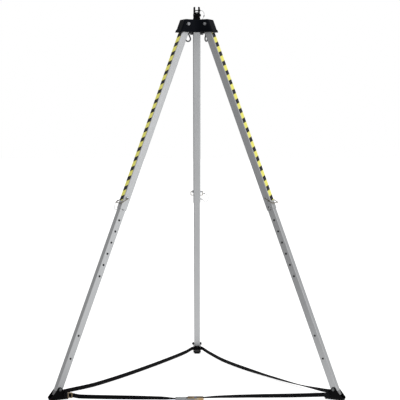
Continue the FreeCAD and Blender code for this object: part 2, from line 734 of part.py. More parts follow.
def cheek():
    """One cheek of the bracket: wide at the base, round at the top, drawn on the YZ plane."""
    half = CHEEK_LENGTH / 2.0
    crown = KEEPER_HEIGHT + CHEEK_CROWN
    centre_z = crown - CHEEK_TOP_RADIUS
    front = V(0, SHEAVE_SETBACK - half, BASE_TOP - 1.0)
    back = V(0, SHEAVE_SETBACK + half, BASE_TOP - 1.0)
    left = V(0, SHEAVE_SETBACK - CHEEK_TOP_RADIUS, centre_z)
    right = V(0, SHEAVE_SETBACK + CHEEK_TOP_RADIUS, centre_z)
    top = V(0, SHEAVE_SETBACK, crown)
    edges = [
        Part.LineSegment(front, left).toShape(),
        Part.Arc(left, top, right).toShape(),
        Part.LineSegment(right, back).toShape(),
        Part.LineSegment(back, front).toShape(),
    ]
    return Part.Face(Part.Wire(edges)).extrude(V(CHEEK_THICKNESS, 0, 0))


def pulley_bracket():
    """Base plate with two cheeks that carry the sheave and the keeper pin."""
    front = BRACKET_SETBACK - BRACKET_LENGTH / 2.0
    half_width = BRACKET_WIDTH / 2.0
    plate = box(-half_width, half_width, front, front + BRACKET_LENGTH, HEAD_TOP, BASE_TOP)
    plate = plate.makeFillet(BRACKET_BASE, edges_along(plate, V(0, 0, 1)))
    left = cheek()
    left.translate(V(-CHEEK_OUTER, 0, 0))
    right = cheek()
    right.translate(V(CHEEK_GAP / 2.0, 0, 0))
    bracket = plate.fuse(left).fuse(right).removeSplitter()
    cutters = [
        cylinder_z(CABLE_HOLE_RADIUS - 1.0, HEAD_TOP - 1.0, BASE_TOP + 1.0),
        cylinder_x(AXLE_RADIUS + HOLE_FIT, -BRACKET_WIDTH, BRACKET_WIDTH, SHEAVE_SETBACK, SHEAVE_HEIGHT),
        cylinder_x(KEEPER_RADIUS + HOLE_FIT, -BRACKET_WIDTH, BRACKET_WIDTH, SHEAVE_SETBACK, KEEPER_HEIGHT),
    ]
    half_gap = CHEEK_GAP / 2.0
    slot_back = SHEAVE_SETBACK + SHEAVE_RADIUS / 2.0
    cutters.append(box(-half_gap, half_gap, 0.0, slot_back, HEAD_TOP - 1.0, BASE_TOP + 1.0))
    for x, y in bracket_bolt_places():
        cutters.append(cylinder_z(BRACKET_BOLT_RADIUS + HOLE_FIT, HEAD_TOP - 1.0, BASE_TOP + 1.0, x, y))
    for cutter in cutters:
        bracket = bracket.cut(cutter)
    return bracket


def bracket_bolts():
    """Bolts that hold the bracket on the deck."""
    pieces = []
    for x, y in bracket_bolt_places():
        shank = cylinder_z(BRACKET_BOLT_RADIUS, DECK_UNDER, BASE_TOP, x, y)
        head = hexagon_prism(BRACKET_BOLT_HEX, BRACKET_BOLT_HEAD)
        head.translate(V(x, y, BASE_TOP))
        pieces.append(shank.fuse(head).removeSplitter())
    return Part.makeCompound(pieces)


def sheave():
    """Grooved pulley wheel between the cheeks."""
    half = SHEAVE_WIDTH / 2.0
    hub = CHEEK_GAP / 2.0 - SIDE_PLAY
    bore = AXLE_RADIUS + RUNNING_FIT
    boss = AXLE_RADIUS * 2.0
    points = [V(-hub, bore, 0), V(-hub, boss, 0), V(-half, boss, 0), V(-half, SHEAVE_RADIUS, 0)]
    for step in range(SHEAVE_GROOVE_STEPS + 1):
        angle = math.pi * step / SHEAVE_GROOVE_STEPS
        across = -(SHEAVE_GROOVE + 1.0) * math.cos(angle)
        points.append(V(across, SHEAVE_RADIUS - SHEAVE_GROOVE * math.sin(angle), 0))
    points += [V(half, SHEAVE_RADIUS, 0), V(half, boss, 0), V(hub, boss, 0), V(hub, bore, 0)]
    section = Part.Face(Part.makePolygon(points + [points[0]]))
    wheel = section.revolve(V(0, 0, 0), V(1, 0, 0), 360)
    wheel.translate(V(0, SHEAVE_SETBACK, SHEAVE_HEIGHT))
    return wheel


def sheave_axle():
    """Axle bolt of the sheave with its nut."""
    head_start = -CHEEK_OUTER - AXLE_HEAD_HEIGHT
    nut_end = CHEEK_OUTER + AXLE_NUT_HEIGHT
    shank = cylinder_x(AXLE_RADIUS, -CHEEK_OUTER, nut_end + 2.0, SHEAVE_SETBACK, SHEAVE_HEIGHT)
    head = hex_x(AXLE_HEX, head_start, -CHEEK_OUTER, SHEAVE_SETBACK, SHEAVE_HEIGHT)
    bolt = shank.fuse(head).removeSplitter()
    bore = cylinder_x(AXLE_RADIUS + RUNNING_FIT, CHEEK_OUTER - 1, nut_end + 1, SHEAVE_SETBACK, SHEAVE_HEIGHT)
    nut = hex_x(AXLE_HEX, CHEEK_OUTER, nut_end, SHEAVE_SETBACK, SHEAVE_HEIGHT).cut(bore)
    return Part.makeCompound([bolt, nut])


def keeper_pin():
    """Thin pin above the sheave that keeps the cable in its groove."""
    seat = CHEEK_OUTER + SEAT_GAP
    shank = cylinder_x(KEEPER_RADIUS, -CHEEK_OUTER - 2.0, seat, SHEAVE_SETBACK, KEEPER_HEIGHT)
    head = cylinder_x(KEEPER_HEAD_RADIUS, seat, seat + KEEPER_HEAD_LENGTH, SHEAVE_SETBACK, KEEPER_HEIGHT)
    return shank.fuse(head).removeSplitter()


def keeper_lanyard():
    """Thin cable with a ferrule, from the keeper pin's head to the bracket's base."""
    start = V(CHEEK_OUTER + SEAT_GAP + KEEPER_HEAD_LENGTH, SHEAVE_SETBACK, KEEPER_HEIGHT)
    end = V(BRACKET_WIDTH / 2.0, SHEAVE_SETBACK - 10.0, HEAD_TOP + BRACKET_BASE / 2.0)
    points = [
        start,
        start + V(10, 0, 0),
        start + V(20, -2, -12),
        start + V(23, -5, -27),
        start + V(19, -8, -42),
        end + V(12, 0, 0),
        end,
    ]
    tube = cord_tube("keeper_lanyard", points, LANYARD_RADIUS)
    low = points[3] + (points[4] - points[3]) * 0.5
    way = (points[4] - points[3]).normalize()
    ferrule = Part.makeCylinder(FERRULE_RADIUS, FERRULE_LENGTH, low - way * (FERRULE_LENGTH / 2.0), way)
    return tube.fuse(ferrule)


def ear_profile():
    """Side view of a foot's ear: a triangle with a round peak round the bolt."""
    half = FOOT_LENGTH / 2.0
    bottom = PAD_THICKNESS - FOOT_BOLT_HEIGHT
    distance = math.hypot(half, EAR_SHOULDER)
    swing = math.acos(EAR_PEAK_RADIUS / distance)
    angle = math.atan2(-EAR_SHOULDER, half) + swing
    touch = V(0, EAR_PEAK_RADIUS * math.cos(angle), EAR_PEAK_RADIUS * math.sin(angle))
    mirror = V(0, -touch.y, touch.z)
    points = [V(0, half, bottom), V(0, half, -EAR_SHOULDER)]
    edges = [
        Part.LineSegment(points[0], points[1]).toShape(),
        Part.LineSegment(points[1], touch).toShape(),
        Part.Arc(touch, V(0, 0, EAR_PEAK_RADIUS), mirror).toShape(),
        Part.LineSegment(mirror, V(0, -half, -EAR_SHOULDER)).toShape(),
        Part.LineSegment(V(0, -half, -EAR_SHOULDER), V(0, -half, bottom)).toShape(),
        Part.LineSegment(V(0, -half, bottom), points[0]).toShape(),
    ]
    return Part.Face(Part.Wire(edges))


def foot_fork():
    """Steel foot bent from plate: a flat sole with two pointed ears beside the leg."""
    half = FOOT_WIDTH / 2.0
    inner = FOOT_INNER / 2.0
    bottom = PAD_THICKNESS - FOOT_BOLT_HEIGHT
    reach = FOOT_LENGTH
    trough = box(-half, half, -reach, reach, bottom, FOOT_BOLT_HEIGHT)
    low = [e for e in edges_along(trough, V(0, 1, 0)) if e.CenterOfMass.z < bottom + 1]
    trough = trough.makeFillet(FOOT_BEND, low)
    bore = box(-inner, inner, -reach - 1, reach + 1, bottom + FOOT_PLATE, FOOT_BOLT_HEIGHT + 1)
    low = [e for e in edges_along(bore, V(0, 1, 0)) if e.CenterOfMass.z < bottom + FOOT_PLATE + 1]
    bore = bore.makeFillet(FOOT_BEND - FOOT_PLATE, low)
    trough = trough.cut(bore)
    profile = ear_profile().extrude(V(FOOT_WIDTH + 2, 0, 0))
    profile.translate(V(-half - 1, 0, 0))
    fork = trough.common(profile)
    slot_low = SLOT_CENTRE - SLOT_HEIGHT / 2.0 - FOOT_BOLT_HEIGHT
    slot = box(-reach, reach, -SLOT_SETBACK - SLOT_WIDTH / 2, -SLOT_SETBACK + SLOT_WIDTH / 2,
               slot_low, slot_low + SLOT_HEIGHT)
    slot = slot.makeFillet(SLOT_WIDTH / 2 - 0.1, edges_along(slot, V(1, 0, 0)))
    fork = fork.cut(slot)
    return fork.cut(cylinder_x(FOOT_BOLT_RADIUS + HOLE_FIT, -reach, reach))


def foot_pad():
    """Rubber sole with grooves across it, on the flat under the foot."""
    half_length = FOOT_LENGTH / 2.0
    half_width = FOOT_WIDTH / 2.0 - FOOT_BEND
    bottom = -FOOT_BOLT_HEIGHT
    pad = box(-half_width, half_width, -half_length, half_length, bottom, bottom + PAD_THICKNESS)
    pad = pad.makeFillet(PAD_CORNER, edges_along(pad, V(0, 0, 1)))
    pitch = FOOT_LENGTH / (PAD_GROOVES + 1)
    for index in range(PAD_GROOVES):
        middle = -half_length + pitch * (index + 1)
        groove = box(-FOOT_WIDTH, FOOT_WIDTH, middle - PAD_GROOVE_WIDTH / 2, middle + PAD_GROOVE_WIDTH / 2,
                     bottom - 1, bottom + PAD_GROOVE_DEPTH)
        pad = pad.cut(groove)
    return pad


def foot_bolt():
    """Pivot bolt of the foot with its nut."""
    seat = FOOT_WIDTH / 2.0
    nut_end = -seat - FOOT_NUT_HEIGHT
    shank = cylinder_x(FOOT_BOLT_RADIUS, nut_end - 2.0, seat)
    bolt = shank.fuse(hex_x(FOOT_BOLT_HEX, seat, seat + FOOT_BOLT_HEAD)).removeSplitter()
    bore = cylinder_x(FOOT_BOLT_RADIUS + RUNNING_FIT, nut_end - 1, -seat + 1)
    return Part.makeCompound([bolt, hex_x(FOOT_BOLT_HEX, nut_end, -seat).cut(bore)])


def webbing_point(side, across, height):
    """Point where the webbing crosses a foot, by its offset along the foot bolt."""
    return placed_point(side, across, -SLOT_SETBACK, height)


def placed_point(side, across, outward, height):
    """Point near a foot, from its own offsets and a height over the floor."""
    place = foot_placement(LEG_AZIMUTHS[side])
    return place.multVec(V(across, outward, height - FOOT_BOLT_HEIGHT))


def between(first, last, share, height, inward=0.0):
    """Point on the way between two points, at a given height, drawn in towards the axis."""
    point = first + (last - first) * share
    middle = (first + last) * 0.5
    pull = V(middle.x, middle.y, 0).normalize() * inward
    return V(point.x, point.y, height) - pull


def route_band(points, rolls):
    """Webbing along a route, its twist spread evenly over each run between two points."""
    turns = []
    for index, point in enumerate(points):
        before = points[max(index - 1, 0)]
        after = points[min(index + 1, len(points) - 1)]
        turns.append((after - before).normalize())
    stations = [(points[0], turns[0], rolls[0])]
    for index in range(1, len(points)):
        steps = max(1, math.ceil(abs(rolls[index] - rolls[index - 1]) / WEB_TWIST_STEP))
        for step in range(1, steps + 1):
            share = step / steps
            point = points[index - 1] + (points[index] - points[index - 1]) * share
            heading = turns[index - 1] + (turns[index] - turns[index - 1]) * share
            roll = rolls[index - 1] + (rolls[index] - rolls[index - 1]) * share
            stations.append((point, heading, roll))
    return band(stations, WEB_WIDTH, WEB_THICKNESS_STRAP)


def ring_place():
    """Centre of the ring on the front webbing, beside the left foot."""
    corner = webbing_point("left", -SLOT_EXIT, 33.0)
    return corner + V(RING_DISTANCE, 0, -4.0)


def strap_left():
    """Webbing from the ring, through the left foot, to the rear foot."""
    ring = ring_place() - V(RING_LENGTH / 2.0 + RING_WIRE + SEAT_GAP, 0, 0)
    corner = webbing_point("left", -SLOT_EXIT, 33.0)
    exit_left = webbing_point("left", SLOT_EXIT, 31.0)
    exit_rear = webbing_point("rear", -SLOT_EXIT, 30.5)
    middle = webbing_point("rear", -SEAT_GAP / 2.0, 33.5)
    points = [ring, corner, webbing_point("left", 0.0, 33.5), exit_left]
    points += [between(exit_left, exit_rear, share, height, inward) for share, height, inward in
               ((0.06, 27.0, 4.0), (0.20, 17.0, 20.0), (0.40, 14.0, 26.0), (0.65, 15.0, 20.0),
                (0.85, 19.0, 11.0), (0.94, 23.0, 5.0))]
    points += [exit_rear, middle]
    rolls = [0, 0, 0, 0, -2, -4, -6, -6, -4, -2, 0, 0]
    return route_band(points, rolls)


def strap_right():
    """Webbing from the rear foot to the right foot, lying slack on the floor midway."""
    middle = webbing_point("rear", SEAT_GAP / 2.0, 33.5)
    exit_rear = webbing_point("rear", SLOT_EXIT, 32.0)
    exit_right = webbing_point("right", -SLOT_EXIT, 34.0)
    last = webbing_point("right", -SEAT_GAP / 2.0, 34.0)
    points = [middle, exit_rear]
    points += [between(exit_rear, exit_right, share, height, inward) for share, height, inward in
               ((0.06, 23.0, 8.0), (0.22, 14.0, 38.0), (0.40, 14.0, 54.0), (0.62, 12.0, 40.0),
                (0.80, 14.0, 18.0), (0.94, 25.0, 4.0))]
    points += [exit_right, last]
    rolls = [0, 0, 0, 2, 8, 38, 60, 18, 0, 0]
    return route_band(points, rolls)


def buckle_middle():
    """Centre of the buckle's spool."""
    height = BUCKLE_FLOOR_GAP + BUCKLE_HEIGHT / 2.0
    return V(BUCKLE_X, FRONT_LINE, height)


def buckle_bar_place():
    """Centre of the bar at the back of the buckle, from the spool's centre."""
    return V(2.0 * BUCKLE_BAR - BUCKLE_BACK, 0, BUCKLE_PLATE + BUCKLE_BAR + SEAT_GAP - BUCKLE_HEIGHT / 2.0)


def strap_front_right():
    """Front webbing from the right foot to the buckle's spool."""
    start = webbing_point("right", SEAT_GAP / 2.0, 34.0)
    corner = webbing_point("right", SLOT_EXIT, 33.0)
    end = buckle_middle() + V(SPOOL_RADIUS + SPOOL_WRAP + SEAT_GAP, 0, 0)
    points = [start, corner]
    points += [between(corner, end, share, height) for share, height in
               ((0.06, 31.0), (0.25, 27.0), (0.45, 24.5), (0.65, 21.5), (0.85, 16.5), (0.94, 12.0))]
    points += [end]
    rolls = [0, 0, -4, -10, -20, -45, -75, -90, -90]
    return route_band(points, rolls)


def strap_front_left():
    """Front webbing from the ring by the left foot to the buckle's frame."""
    start = ring_place() + V(RING_LENGTH / 2.0 + RING_WIRE + SEAT_GAP, 0, 0)
    end = buckle_middle() + buckle_bar_place() - V(BUCKLE_BAR + SEAT_GAP, 0, 0)
    points = [start]
    points += [between(start, end, share, height) for share, height in
               ((0.06, 22.0), (0.25, 17.0), (0.5, 14.5), (0.75, 9.0), (0.9, 5.0))]
    points += [end]
    rolls = [0, 3, 12, 32, 68, 88, 90]
    return route_band(points, rolls)


def strap_ring():
    """Rectangular steel ring that joins the webbing at the left foot."""
    centre = ring_place()
    half_length = RING_LENGTH / 2.0 + RING_WIRE
    half_height = WEB_WIDTH / 2.0 + RING_SLACK + RING_WIRE
    bar = box(-half_length, half_length, -RING_WIRE, RING_WIRE, -half_height, half_height)
    bar = bar.makeFillet(RING_WIRE, edges_along(bar, V(0, 1, 0)))
    hole = box(-half_length + 2 * RING_WIRE, half_length - 2 * RING_WIRE, -2 * RING_WIRE, 2 * RING_WIRE,
               -half_height + 2 * RING_WIRE, half_height - 2 * RING_WIRE)
    ring = bar.cut(hole)
    ring.translate(centre)
    return ring


def buckle_frame():
    """Frame of the buckle: two side plates joined by a floor plate and a bar."""
    half = BUCKLE_WIDTH / 2.0
    front = BUCKLE_FRONT
    back = -BUCKLE_BACK
    low = -BUCKLE_HEIGHT / 2.0
    high = BUCKLE_HEIGHT / 2.0
    body = box(back, front, -half, half, low, high)
    body = body.makeFillet(BUCKLE_HEIGHT / 3.0, edges_along(body, V(0, 1, 0)))
    room = box(back - 1, front + 1, -half + BUCKLE_PLATE, half - BUCKLE_PLATE, low + BUCKLE_PLATE, high + 1)
    body = body.cut(room)
    window = BUCKLE_BACK / 2.0
    body = body.cut(box(-window, window, -half + 2 * BUCKLE_PLATE, half - 2 * BUCKLE_PLATE, low - 1, high))
    bar_start = buckle_bar_place() - V(0, half, 0)
    bar = Part.makeCylinder(BUCKLE_BAR, BUCKLE_WIDTH, bar_start, V(0, 1, 0))
    body = body.fuse(bar)
    hole = Part.makeCylinder(SPOOL_RADIUS + RUNNING_FIT, BUCKLE_WIDTH + 2, V(0, -half - 1, 0), V(0, 1, 0))
    body = body.cut(hole)
    body.translate(buckle_middle())
    return body


def ratchet_wheel(start):
    """Toothed wheel across the spool, standing up along y from its start."""
    corners = []
    for index in range(2 * RATCHET_TEETH + 1):
        angle = math.pi * (index % (2 * RATCHET_TEETH)) / RATCHET_TEETH
        radius = RATCHET_RADIUS - RATCHET_TOOTH * (index % 2)
        corners.append(V(radius * math.cos(angle), start, radius * math.sin(angle)))
    return Part.Face(Part.makePolygon(corners)).extrude(V(0, RATCHET_THICKNESS, 0))


def buckle_spool():
    """Spool of the buckle with a ratchet wheel outside each side plate."""
    half = LEVER_INNER + LEVER_PLATE
    spool = Part.makeCylinder(SPOOL_RADIUS, 2 * half + 2.0, V(0, -half - 1.0, 0), V(0, 1, 0))
    seat = BUCKLE_WIDTH / 2.0 + SIDE_PLAY
    spool = spool.fuse(ratchet_wheel(seat)).fuse(ratchet_wheel(-seat - RATCHET_THICKNESS)).removeSplitter()
    spool.translate(buckle_middle())
    return spool


def spool_wrap():
    """Blue webbing wound on the spool."""
    half = WEB_WIDTH / 2.0
    wrap = Part.makeCylinder(SPOOL_RADIUS + SPOOL_WRAP, 2 * half, V(0, -half, 0), V(0, 1, 0))
    core = Part.makeCylinder(SPOOL_RADIUS, 2 * half + 2, V(0, -half - 1, 0), V(0, 1, 0))
    wrap = wrap.cut(core)
    wrap.translate(buckle_middle())
    return wrap


def buckle_lever():
    """Lever of the buckle: two arms outside the frame, drawn together past its end."""
    inner = LEVER_INNER
    outer = inner + LEVER_PLATE
    reach = -LEVER_REACH
    eye = SPOOL_RADIUS + 2.5
    arms = []
    for sign in (-1, 1):
        low = min(sign * inner, sign * outer)
        arm = box(reach, 0.0, low, low + LEVER_PLATE, -eye / 2.0, eye / 2.0)
        disc = Part.makeCylinder(eye, LEVER_PLATE, V(0, low, 0), V(0, 1, 0))
        arms.append(arm.fuse(disc))
    bridge = box(reach, -LEVER_ARM - 2.0, -inner - LEVER_PLATE / 2, inner + LEVER_PLATE / 2,
                 -LEVER_PLATE / 2, LEVER_PLATE / 2)
    lever = arms[0].fuse(arms[1]).fuse(bridge).removeSplitter()
    hole = Part.makeCylinder(SPOOL_RADIUS + RUNNING_FIT, 4 * outer, V(0, -2 * outer, 0), V(0, 1, 0))
    lever = lever.cut(hole)
    lever.translate(buckle_middle())
    return lever


def buckle_grip():
    """Grey grip plate on the end of the buckle's lever."""
    inner = LEVER_INNER
    start = -LEVER_REACH + 1.0
    end = -LEVER_ARM - 3.0
    low = LEVER_PLATE / 2.0
    grip = box(start, end, -inner, inner, low, low + GRIP_HEIGHT - LEVER_PLATE)
    grip = grip.makeFillet(LEVER_PLATE / 2.0, edges_along(grip, V(0, 1, 0)))
    grip.translate(buckle_middle())
    return grip


def leg_parts(side):
    """Every piece of one leg, each in its own named node."""
    leg = leg_placement(LEG_AZIMUTHS[side])
    foot = foot_placement(LEG_AZIMUTHS[side])
    in_leg = {
        "upper_tube": upper_tube(),
        "hinge_bush": hinge_bush(),
        "hazard_tape": hazard_tape(),
        "guide_liner": guide_liner(),
        "lower_tube": lower_tube(),
        "top_guide": top_guide(),
        "foot_plug": foot_plug(),
        "lock_pin": lock_pin(),
        "pin_bail": pin_bail(f"pin_bail_{side}"),
        "pin_lanyard": pin_lanyard(f"pin_lanyard_{side}"),
    }
    in_foot = {
        "foot_fork": foot_fork(),
        "foot_pad": foot_pad(),
        "foot_bolt": foot_bolt(),
    }
    nodes = {f"{name}_{side}": placed(shape, leg) for name, shape in in_leg.items()}
    nodes.update({f"{name}_{side}": placed(shape, foot) for name, shape in in_foot.items()})
    return nodes


def all_parts():
    """Every node of the tripod about its own axis."""
    nodes = {
        "head_casting": head_casting(),
        "hinge_bolts": hinge_bolts(),
        "hinge_nuts": hinge_nuts(),
        "anchor_eye_left": anchor_eye("left"),
        "anchor_eye_right": anchor_eye("right"),
        "pulley_bracket": pulley_bracket(),
        "bracket_bolts": bracket_bolts(),
        "sheave": sheave(),
        "sheave_axle": sheave_axle(),
        "keeper_pin": keeper_pin(),
        "keeper_lanyard": keeper_lanyard(),
        "strap_left": strap_left(),
        "strap_right": strap_right(),
        "strap_front_left": strap_front_left(),
        "strap_front_right": strap_front_right(),
        "strap_ring": strap_ring(),
        "buckle_frame": buckle_frame(),
        "buckle_spool": buckle_spool(),
        "spool_wrap": spool_wrap(),
        "buckle_lever": buckle_lever(),
        "buckle_grip": buckle_grip(),
    }
    for side in LEG_AZIMUTHS:
        nodes.update(leg_parts(side))
    return nodes


def main():
    """Write one STEP file for each node, with the footprint centred on the origin."""
    os.makedirs("parts", exist_ok=True)
    for name, shape in all_parts().items():
        shape = shape.copy()
        shape.translate(V(0, FOOTPRINT_SHIFT, 0))
        shape.exportStep(f"parts/{name}.step")


main()
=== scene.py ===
"""Studio scene of a rescue tripod: cast head, telescopic square legs, hinged feet and foot webbing."""
import json
import logging
import math
from collections.abc import Callable, Sequence
from dataclasses import dataclass, field
from enum import Enum
from functools import partial

import bpy
from mathutils import Matrix, Vector


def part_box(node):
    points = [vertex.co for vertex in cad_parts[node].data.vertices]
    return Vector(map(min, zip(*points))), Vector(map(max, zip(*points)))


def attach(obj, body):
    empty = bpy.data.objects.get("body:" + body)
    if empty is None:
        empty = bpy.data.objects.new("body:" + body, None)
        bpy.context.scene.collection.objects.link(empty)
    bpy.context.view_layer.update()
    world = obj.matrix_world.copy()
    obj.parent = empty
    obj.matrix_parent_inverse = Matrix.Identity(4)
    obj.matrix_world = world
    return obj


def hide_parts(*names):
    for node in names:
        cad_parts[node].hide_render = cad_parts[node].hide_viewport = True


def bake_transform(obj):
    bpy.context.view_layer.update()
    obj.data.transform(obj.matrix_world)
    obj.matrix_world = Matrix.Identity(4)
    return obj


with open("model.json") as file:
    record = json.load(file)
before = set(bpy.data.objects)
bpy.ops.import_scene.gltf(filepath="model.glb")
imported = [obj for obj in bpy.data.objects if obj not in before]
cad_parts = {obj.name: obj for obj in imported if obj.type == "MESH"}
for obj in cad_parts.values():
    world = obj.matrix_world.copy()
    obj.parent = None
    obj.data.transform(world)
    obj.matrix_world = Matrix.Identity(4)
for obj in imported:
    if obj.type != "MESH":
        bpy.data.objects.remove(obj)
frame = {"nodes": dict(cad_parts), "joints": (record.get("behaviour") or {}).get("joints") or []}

LOG = logging.getLogger("rescue_tripod")
MM = 0.001
SELVEDGE = 0.0126  # where the weave's map starts, in metres to the side of the webbing's middle


class Side(Enum):
    """The three legs, seen from the front."""

    LEFT = "left"
    RIGHT = "right"
    REAR = "rear"


# ---------------------------------------------------------------- places taken from the frame


def joint_named(name: str) -> dict:
    """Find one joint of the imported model.

    Args:
        name: The joint's name.

    Returns:
        The joint's record.
    """
    return next(joint for joint in frame["joints"] if joint["name"] == name)


def matrix_of(x: Vector, y: Vector, z: Vector, origin: Vector) -> Matrix:
    """Matrix whose columns are three axes and an origin.

    Args:
        x: First axis.
        y: Second axis.
        z: Third axis.
        origin: Place of the local origin.

    Returns:
        The four by four matrix.
    """
    rows = [(x[i], y[i], z[i], origin[i]) for i in range(3)]
    return Matrix(rows + [(0.0, 0.0, 0.0, 1.0)])


@dataclass
class LegPlace:
    """Frames of one leg: x along the hinge bolt, y out of the outer face, z down the leg."""

    side: Side
    leg: Matrix = field(init=False)
    foot: Matrix = field(init=False)

    def __post_init__(self) -> None:
        """Work the frames out from the leg's joints."""
        fold = joint_named(f"fold_{self.side.value}")
        extend = joint_named(f"extend_{self.side.value}")
        tilt = joint_named(f"tilt_foot_{self.side.value}")
        along_bolt = Vector(fold["axis"]).normalized()
        down = -Vector(extend["axis"]).normalized()
        self.leg = matrix_of(along_bolt, down.cross(along_bolt), down, Vector(fold["pos_m"]))
        up = Vector((0, 0, 1))
        across = -along_bolt
        self.foot = matrix_of(across, up.cross(across), up, Vector(tilt["pos_m"]))

    def leg_point(self, x: float, y: float, z: float) -> Vector:
        """Point of the leg frame, given in millimetres, in the row frame."""
        return self.leg @ Vector((x * MM, y * MM, z * MM))

    def foot_point(self, x: float, y: float, height: float) -> Vector:
        """Point by the foot in the row frame; the height is counted from the floor."""
        point = self.foot @ Vector((x * MM, y * MM, 0))
        return Vector((point.x, point.y, height * MM))


# ---------------------------------------------------------------- workbench


class Bench:
    """Modelling steps in the way of work done by hand."""

    @staticmethod
    def clear() -> None:
        """Leave edit mode and deselect everything."""
        if bpy.context.object is not None and bpy.context.object.mode != "OBJECT":
            bpy.ops.object.mode_set(mode="OBJECT")
        bpy.ops.object.select_all(action="DESELECT")

    @staticmethod
    def take(piece: bpy.types.Object) -> None:
        """Select one piece and make it active."""
        Bench.clear()
        piece.select_set(True)
        bpy.context.view_layer.objects.active = piece

    @staticmethod
    def cylinder(name: str, radius: float, start: float, end: float, sides: int = 48) -> bpy.types.Object:
        """Add a cylinder that lies along x.

        Args:
            name: Name of the new piece.
            radius: Radius in millimetres.
            start: Where it starts along x, in millimetres.
            end: Where it ends.
            sides: Number of sides.

        Returns:
            The new piece.
        """
        Bench.clear()
        bpy.ops.mesh.primitive_cylinder_add(
            vertices=sides, radius=radius * MM, depth=abs(end - start) * MM,
            location=((start + end) / 2 * MM, 0, 0), rotation=(0, math.pi / 2, 0))
        piece = bpy.context.object
        piece.name = name
        bpy.ops.object.transform_apply(location=True, rotation=True, scale=True)
        return piece

    @staticmethod
    def pick(piece: bpy.types.Object, kind: str, test: Callable[[Vector, Vector], bool]) -> None:
        """Enter edit mode with some faces or edges selected.

        Args:
            piece: The piece.
            kind: FACE, tested on its centre and normal, or EDGE, tested on its two ends.
            test: The test.
        """
        Bench.take(piece)
        bpy.ops.object.mode_set(mode="EDIT")
        bpy.ops.mesh.select_mode(type=kind)
        bpy.ops.mesh.select_all(action="DESELECT")
        bpy.ops.object.mode_set(mode="OBJECT")
        mesh = piece.data
        for face in mesh.polygons if kind == "FACE" else ():
            face.select = test(face.center, face.normal)
        for edge in mesh.edges if kind == "EDGE" else ():
            edge.select = test(*(mesh.vertices[index].co for index in edge.vertices))
        bpy.ops.object.mode_set(mode="EDIT")

    @staticmethod
    def rim(piece: bpy.types.Object, place: float, width: float, segments: int) -> None:
        """Bevel the rim at one end of a bar that lies along x, all in millimetres."""
        Bench.pick(piece, "EDGE", lambda a, b: max(abs(a.x - place * MM), abs(b.x - place * MM)) < 0.1 * MM)
        bpy.ops.mesh.bevel(offset=width * MM, segments=segments, profile=0.5, affect="EDGES")
        bpy.ops.object.mode_set(mode="OBJECT")

    @staticmethod
    def turn_rings(piece: bpy.types.Object, count: int, share: Callable[[float], float]) -> None:
        """Cut a bar along x into rings and scale each ring by a share for its place."""
        Bench.pick(piece, "EDGE", lambda a, b: abs(a.x - b.x) > MM)
        bpy.ops.mesh.subdivide(number_cuts=count)
        bpy.ops.object.mode_set(mode="OBJECT")
        for vertex in piece.data.vertices:
            factor = share(vertex.co.x)
            vertex.co.y *= factor
            vertex.co.z *= factor

    @staticmethod
    def bevel_all(piece: bpy.types.Object, width: float, segments: int = 2, angle: float = 35.0) -> None:
        """Round every sharp edge with an applied Bevel modifier."""
        Bench.take(piece)
        modifier = piece.modifiers.new("soft_edges", "BEVEL")
        modifier.width = width * MM
        modifier.segments = segments
        modifier.limit_method = "ANGLE"
        modifier.angle_limit = math.radians(angle)
        bpy.ops.object.modifier_apply(modifier=modifier.name)

    @staticmethod
    def smooth(piece: bpy.types.Object, angle: float = 35.0) -> None:
        """Shade smooth below an angle between faces."""
        Bench.take(piece)
        bpy.ops.object.shade_smooth_by_angle(angle=math.radians(angle))

    @staticmethod
    def seat(piece: bpy.types.Object, place: Matrix) -> bpy.types.Object:
        """Move a piece's mesh by a matrix; the object stays at the origin."""
        piece.data.transform(place)
        piece.matrix_world = Matrix.Identity(4)
        piece.data.update()
        return piece

    @staticmethod
    def join(name: str, pieces: Sequence[bpy.types.Object]) -> bpy.types.Object:
        """Join pieces into one and name it."""
        Bench.clear()
        for piece in pieces:
            piece.select_set(True)
        bpy.context.view_layer.objects.active = pieces[0]
        if len(pieces) > 1:
            bpy.ops.object.join()
        joined = pieces[0]
        joined.name = name
        joined.data.name = name
        return joined

    @staticmethod
    def outward(piece: bpy.types.Object) -> None:
        """Turn every face outwards."""
        Bench.take(piece)
        bpy.ops.object.mode_set(mode="EDIT")
        bpy.ops.mesh.select_all(action="SELECT")
        bpy.ops.mesh.normals_make_consistent(inside=False)
        bpy.ops.object.mode_set(mode="OBJECT")

    @staticmethod
    def mesh_piece(name: str, points: Sequence[Vector], faces: Sequence[Sequence[int]]) -> bpy.types.Object:
        """Make a piece from points and faces in the row frame."""
        mesh = bpy.data.meshes.new(name)
        mesh.from_pydata([tuple(point) for point in points], [], [tuple(face) for face in faces])
        mesh.update()
        piece = bpy.data.objects.new(name, mesh)
        bpy.context.scene.collection.objects.link(piece)
        return piece

    @staticmethod
    def prism(name: str, ends: Sequence[Sequence[tuple[float, float, float]]]) -> bpy.types.Object:
        """Make a closed solid between two equal outlines in millimetres."""
        count = len(ends[0])
        faces = [tuple(range(count)), tuple(reversed(range(count, 2 * count)))]
        faces += [(k, k + count, (k + 1) % count + count, (k + 1) % count) for k in range(count)]
        piece = Bench.mesh_piece(name, [Vector(point) * MM for end in ends for point in end], faces)
        Bench.outward(piece)
        return piece


# ---------------------------------------------------------------- shader trees


